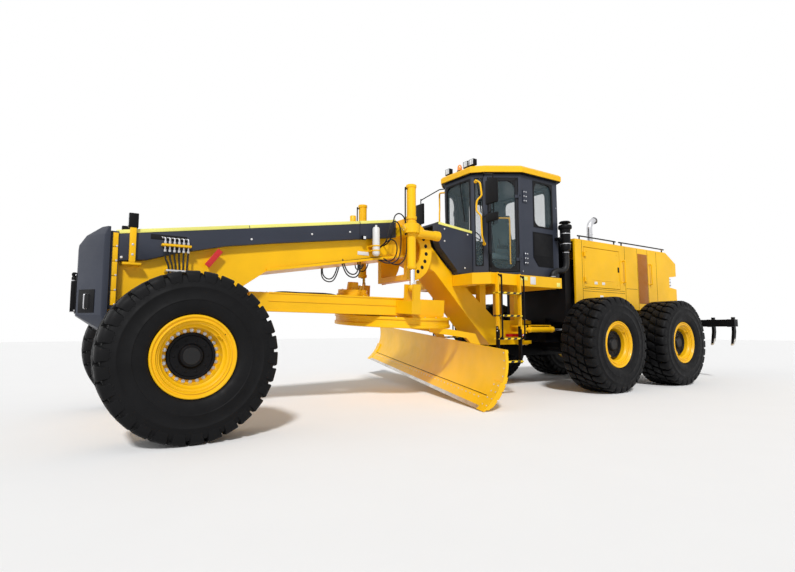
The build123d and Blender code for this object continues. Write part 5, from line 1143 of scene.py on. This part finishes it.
# ---- saddle --------------------------------------------------------------------------
saddle = Shape()
SADDLE_AT = Vector((3.4, 0, 2.64))
arc = [radians(a) for a in range(95, 266, 10)]
for _ in saddle.both_sides():
    outline = ([SADDLE_AT + Vector((0.45 * cos(a), 0.49, 0.54 * sin(a))) for a in arc]
        + [SADDLE_AT + Vector((0.2 * cos(a), 0.49, 0.27 * sin(a))) for a in reversed(arc)])
    saddle.prism(outline, (0, 0.04, 0), YELLOW, 0.006)
    # flat dark discs where the saddle plate's holes are: painted shade in place of the open holes
    for a in arc[1:-1:2]:
        saddle.rod(SADDLE_AT + Vector((0.325 * cos(a), 0.528, 0.405 * sin(a))),
            SADDLE_AT + Vector((0.325 * cos(a), 0.5305, 0.405 * sin(a))), 0.036, SEAL, 20, 0.001)
    for z in (2.72, 3.16):
        for x in (3.32, 3.44):
            saddle.bolt((x, 0.49, z), LEFT, 0.016, SILVER)
    hub = Vector((lift_x, lift_y, 2.95))
    saddle.lathe(hub, UP, ((-0.082, 0.097), (-0.082, 0.136), (-0.074, 0.143), (0.074, 0.143),
        (0.082, 0.136), (0.082, 0.097)), YELLOW, 40, closed=True)
    saddle.lathe(hub + Vector((0.128, 0, 0)), AHEAD, ((0, 0.062), (0.03, 0.062), (0.036, 0.054),
        (0.036, 0)), YELLOW, 32)
    saddle.ring_of_bolts(hub + Vector((0.164, 0, 0)), AHEAD, 0.036, 4, 0.007, SILVER)
    saddle.lathe(Vector((3.48, 0.64, 2.93)), (-1, 0, 0), ((0, 0.08), (0.5, 0.08), (0.508, 0.09),
        (0.6, 0.09), (0.61, 0.078), (0.61, 0)), YELLOW, 36)
saddle.emit("saddle_fittings", "front_frame", "yellow_paint")

# ---- nose, articulation and ripper ---------------------------------------------------
nose_low, nose_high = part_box("nose_block")
NOSE_LEVELS = (
    # height, where the side ends, the front, the front's half width
    (nose_low.z + 0.002, 8.075, 8.11, 0.46), (1.42, 8.13, 8.385, 0.2), (2.31, 8.13, 8.385, 0.2),
    (2.43, 8.125, 8.31, 0.29), (nose_high.z - 0.004, 8.095, 8.15, 0.44),
)
nose_back, nose_side = nose_low.x + 0.001, nose_high.y - 0.001
nose = Shape()
nose.loft([[(nose_back, nose_side, z), (side_end, nose_side, z), (front, half, z), (front, -half, z),
    (side_end, -nose_side, z), (nose_back, -nose_side, z)][::-1]
    for z, side_end, front, half in NOSE_LEVELS], GREY, 0.01)
TOW_X = NOSE_LEVELS[1][2]
TOW_TIP = nose_high.x - 0.002
nose.box((TOW_X - 0.01, TOW_X + 0.012), (-0.19, 0.19), (1.45, 1.96), BLACK, 0.006)
for z in (1.5, 1.76):
    nose.box((TOW_X, TOW_TIP), (-0.11, 0.11), (z, z + 0.08), BLACK, 0.008)
for _ in nose.both_sides():
    nose.box((TOW_X, TOW_TIP), (0.11, 0.14), (1.47, 1.86), BLACK, 0.006)
    for z in (1.48, 1.93):
        nose.bolt((TOW_X + 0.012, 0.165, z), AHEAD, 0.01, SILVER)
    cheek = Vector((8.13, 0.549, 0)).lerp(Vector((TOW_X, 0.2, 0)), 0.55)
    out = Vector((0.808, 0.59, 0))
    nose.tube(bent([cheek + out * o + Vector((0, 0, z)) for o, z in ((-0.004, 1.5), (0.045, 1.5),
        (0.045, 1.68), (-0.004, 1.68))], 0.02), 0.01, SILVER, 10)
    nose.prism([cheek + out * -0.002 + Vector((-out.y * a, out.x * a, z)) for a, z in ((-0.15, 1.45),
        (-0.15, 1.74), (0.12, 1.74), (0.12, 1.45))], out * 0.01, BLACK, 0.003)
PIN_X = TOW_TIP - 0.033
nose.rod((PIN_X, 0, 1.47), (PIN_X, 0, 1.9), 0.026, SILVER)
nose.lathe((PIN_X, 0, 1.88), UP, ((0, 0), (0, 0.03), (0.03, 0.032), (0.045, 0.022), (0.06, 0.03),
    (0.085, 0.031), (0.1, 0.018), (0.102, 0)), BLACK, 24)
nose.emit("nose_casting", "front_frame", "grey_paint", "nose_block")

joint_kit = Shape()
for z, up in ((1.43, 1), (0.93, -1)):
    joint_kit.lathe((0, 0, z), (0, 0, up), ((0, 0.125), (0.018, 0.125), (0.024, 0.116), (0.024, 0)), YELLOW,
        40)
    joint_kit.ring_of_bolts((0, 0, z + 0.024 * up), (0, 0, up), 0.09, 8, 0.011, SILVER)
joint_kit.bar((0.32, 0.33, 1.12), (0.86, 0.33, 1.12), 0.03, 0.06, RED, bevel=0.006)
joint_kit.bolt((0.36, 0.345, 1.12), LEFT, 0.014, SILVER)
joint_kit.emit("articulation_fittings", "front_frame", "yellow_paint")

SHANKS, SHANK_PITCH = 9, 0.465
ripper = Shape()
beam_x = -5.6
for i in range(SHANKS):
    y = (i - (SHANKS - 1) / 2) * SHANK_PITCH
    ripper.prism([(beam_x + p, y - 0.034, z) for p, z in ((-0.09, 1.01), (-0.158, 1.0), (-0.145, 0.96),
        (-0.004, 0.833), (0.006, 0.838), (-0.06, 0.985))], (0, 0.068, 0), STEEL, 0.005)
    for z in (1.36, 1.44):
        ripper.rod((beam_x - 0.135, y - 0.05, z), (beam_x - 0.135, y + 0.05, z), 0.016, SILVER, 16)
    ripper.box((beam_x - 0.1, beam_x + 0.094), (y - 0.055, y - 0.034), (1.3, 1.496), BLACK, 0.006)
    ripper.box((beam_x - 0.1, beam_x + 0.094), (y + 0.034, y + 0.055), (1.3, 1.496), BLACK, 0.006)
for _ in ripper.both_sides():
    ripper.box((beam_x - 0.07, beam_x + 0.07), (1.976, 1.9795), (1.33, 1.47), YELLOW, 0.001)
ripper.emit("ripper_fittings", "ripper", "black_paint")

arms = Shape()
for y in (-0.33, 0.33):
    arms.bar((-4.76, y, 1.245), (-5.3, y, 1.37), 0.078, 0.04, BLACK, bevel=0.006)
arms.emit("ripper_arm_fittings", "ripper_arms", "black_paint")

# ---- lights and floor ----------------------------------------------------------------
floor_mesh = bpy.data.meshes.new("floor")
FLOOR = 60
floor_mesh.from_pydata([(-FLOOR, -FLOOR, 0), (FLOOR, -FLOOR, 0), (FLOOR, FLOOR, 0), (-FLOOR, FLOOR, 0)], [],
    [(0, 1, 2, 3)])
floor_mesh.materials.append(surface("studio_floor", (0.93, 0.93, 0.93), 0.9, cloud=0.004, bump=0.0, edge=0))
put("floor", floor_mesh)

world = bpy.data.worlds.new("studio")
bpy.context.scene.world = world
world.use_nodes = True
sky = world.node_tree
seen = add_node(sky, "LightPath", {}).outputs
direct = add_node(sky, "Math", {0: seen["Is Camera Ray"], 1: seen["Is Glossy Ray"]}, operation="MAXIMUM")
AMBIENT = 0.36  # the world's strength as a light; seen or mirrored, it is white
strength = add_node(sky, "MapRange", {"Value": direct.outputs[0], "To Min": AMBIENT, "To Max": 1.0})
set_inputs(sky, sky.nodes["Background"], {"Strength": strength.outputs["Result"], "Color": (1, 1, 1, 1)})


def sun(name, toward, energy, angle):
    """A broad distant lamp that shines along a direction."""
    data = bpy.data.lights.new(name, "SUN")
    data.energy = energy
    data.angle = angle
    put(name, data).rotation_euler = Vector(toward).to_track_quat("-Z", "Y").to_euler()


sun("key", (-0.5, -0.75, -0.8), 2.6, 0.12)
sun("fill", (-0.9, 0.25, -0.35), 0.45, 0.8)
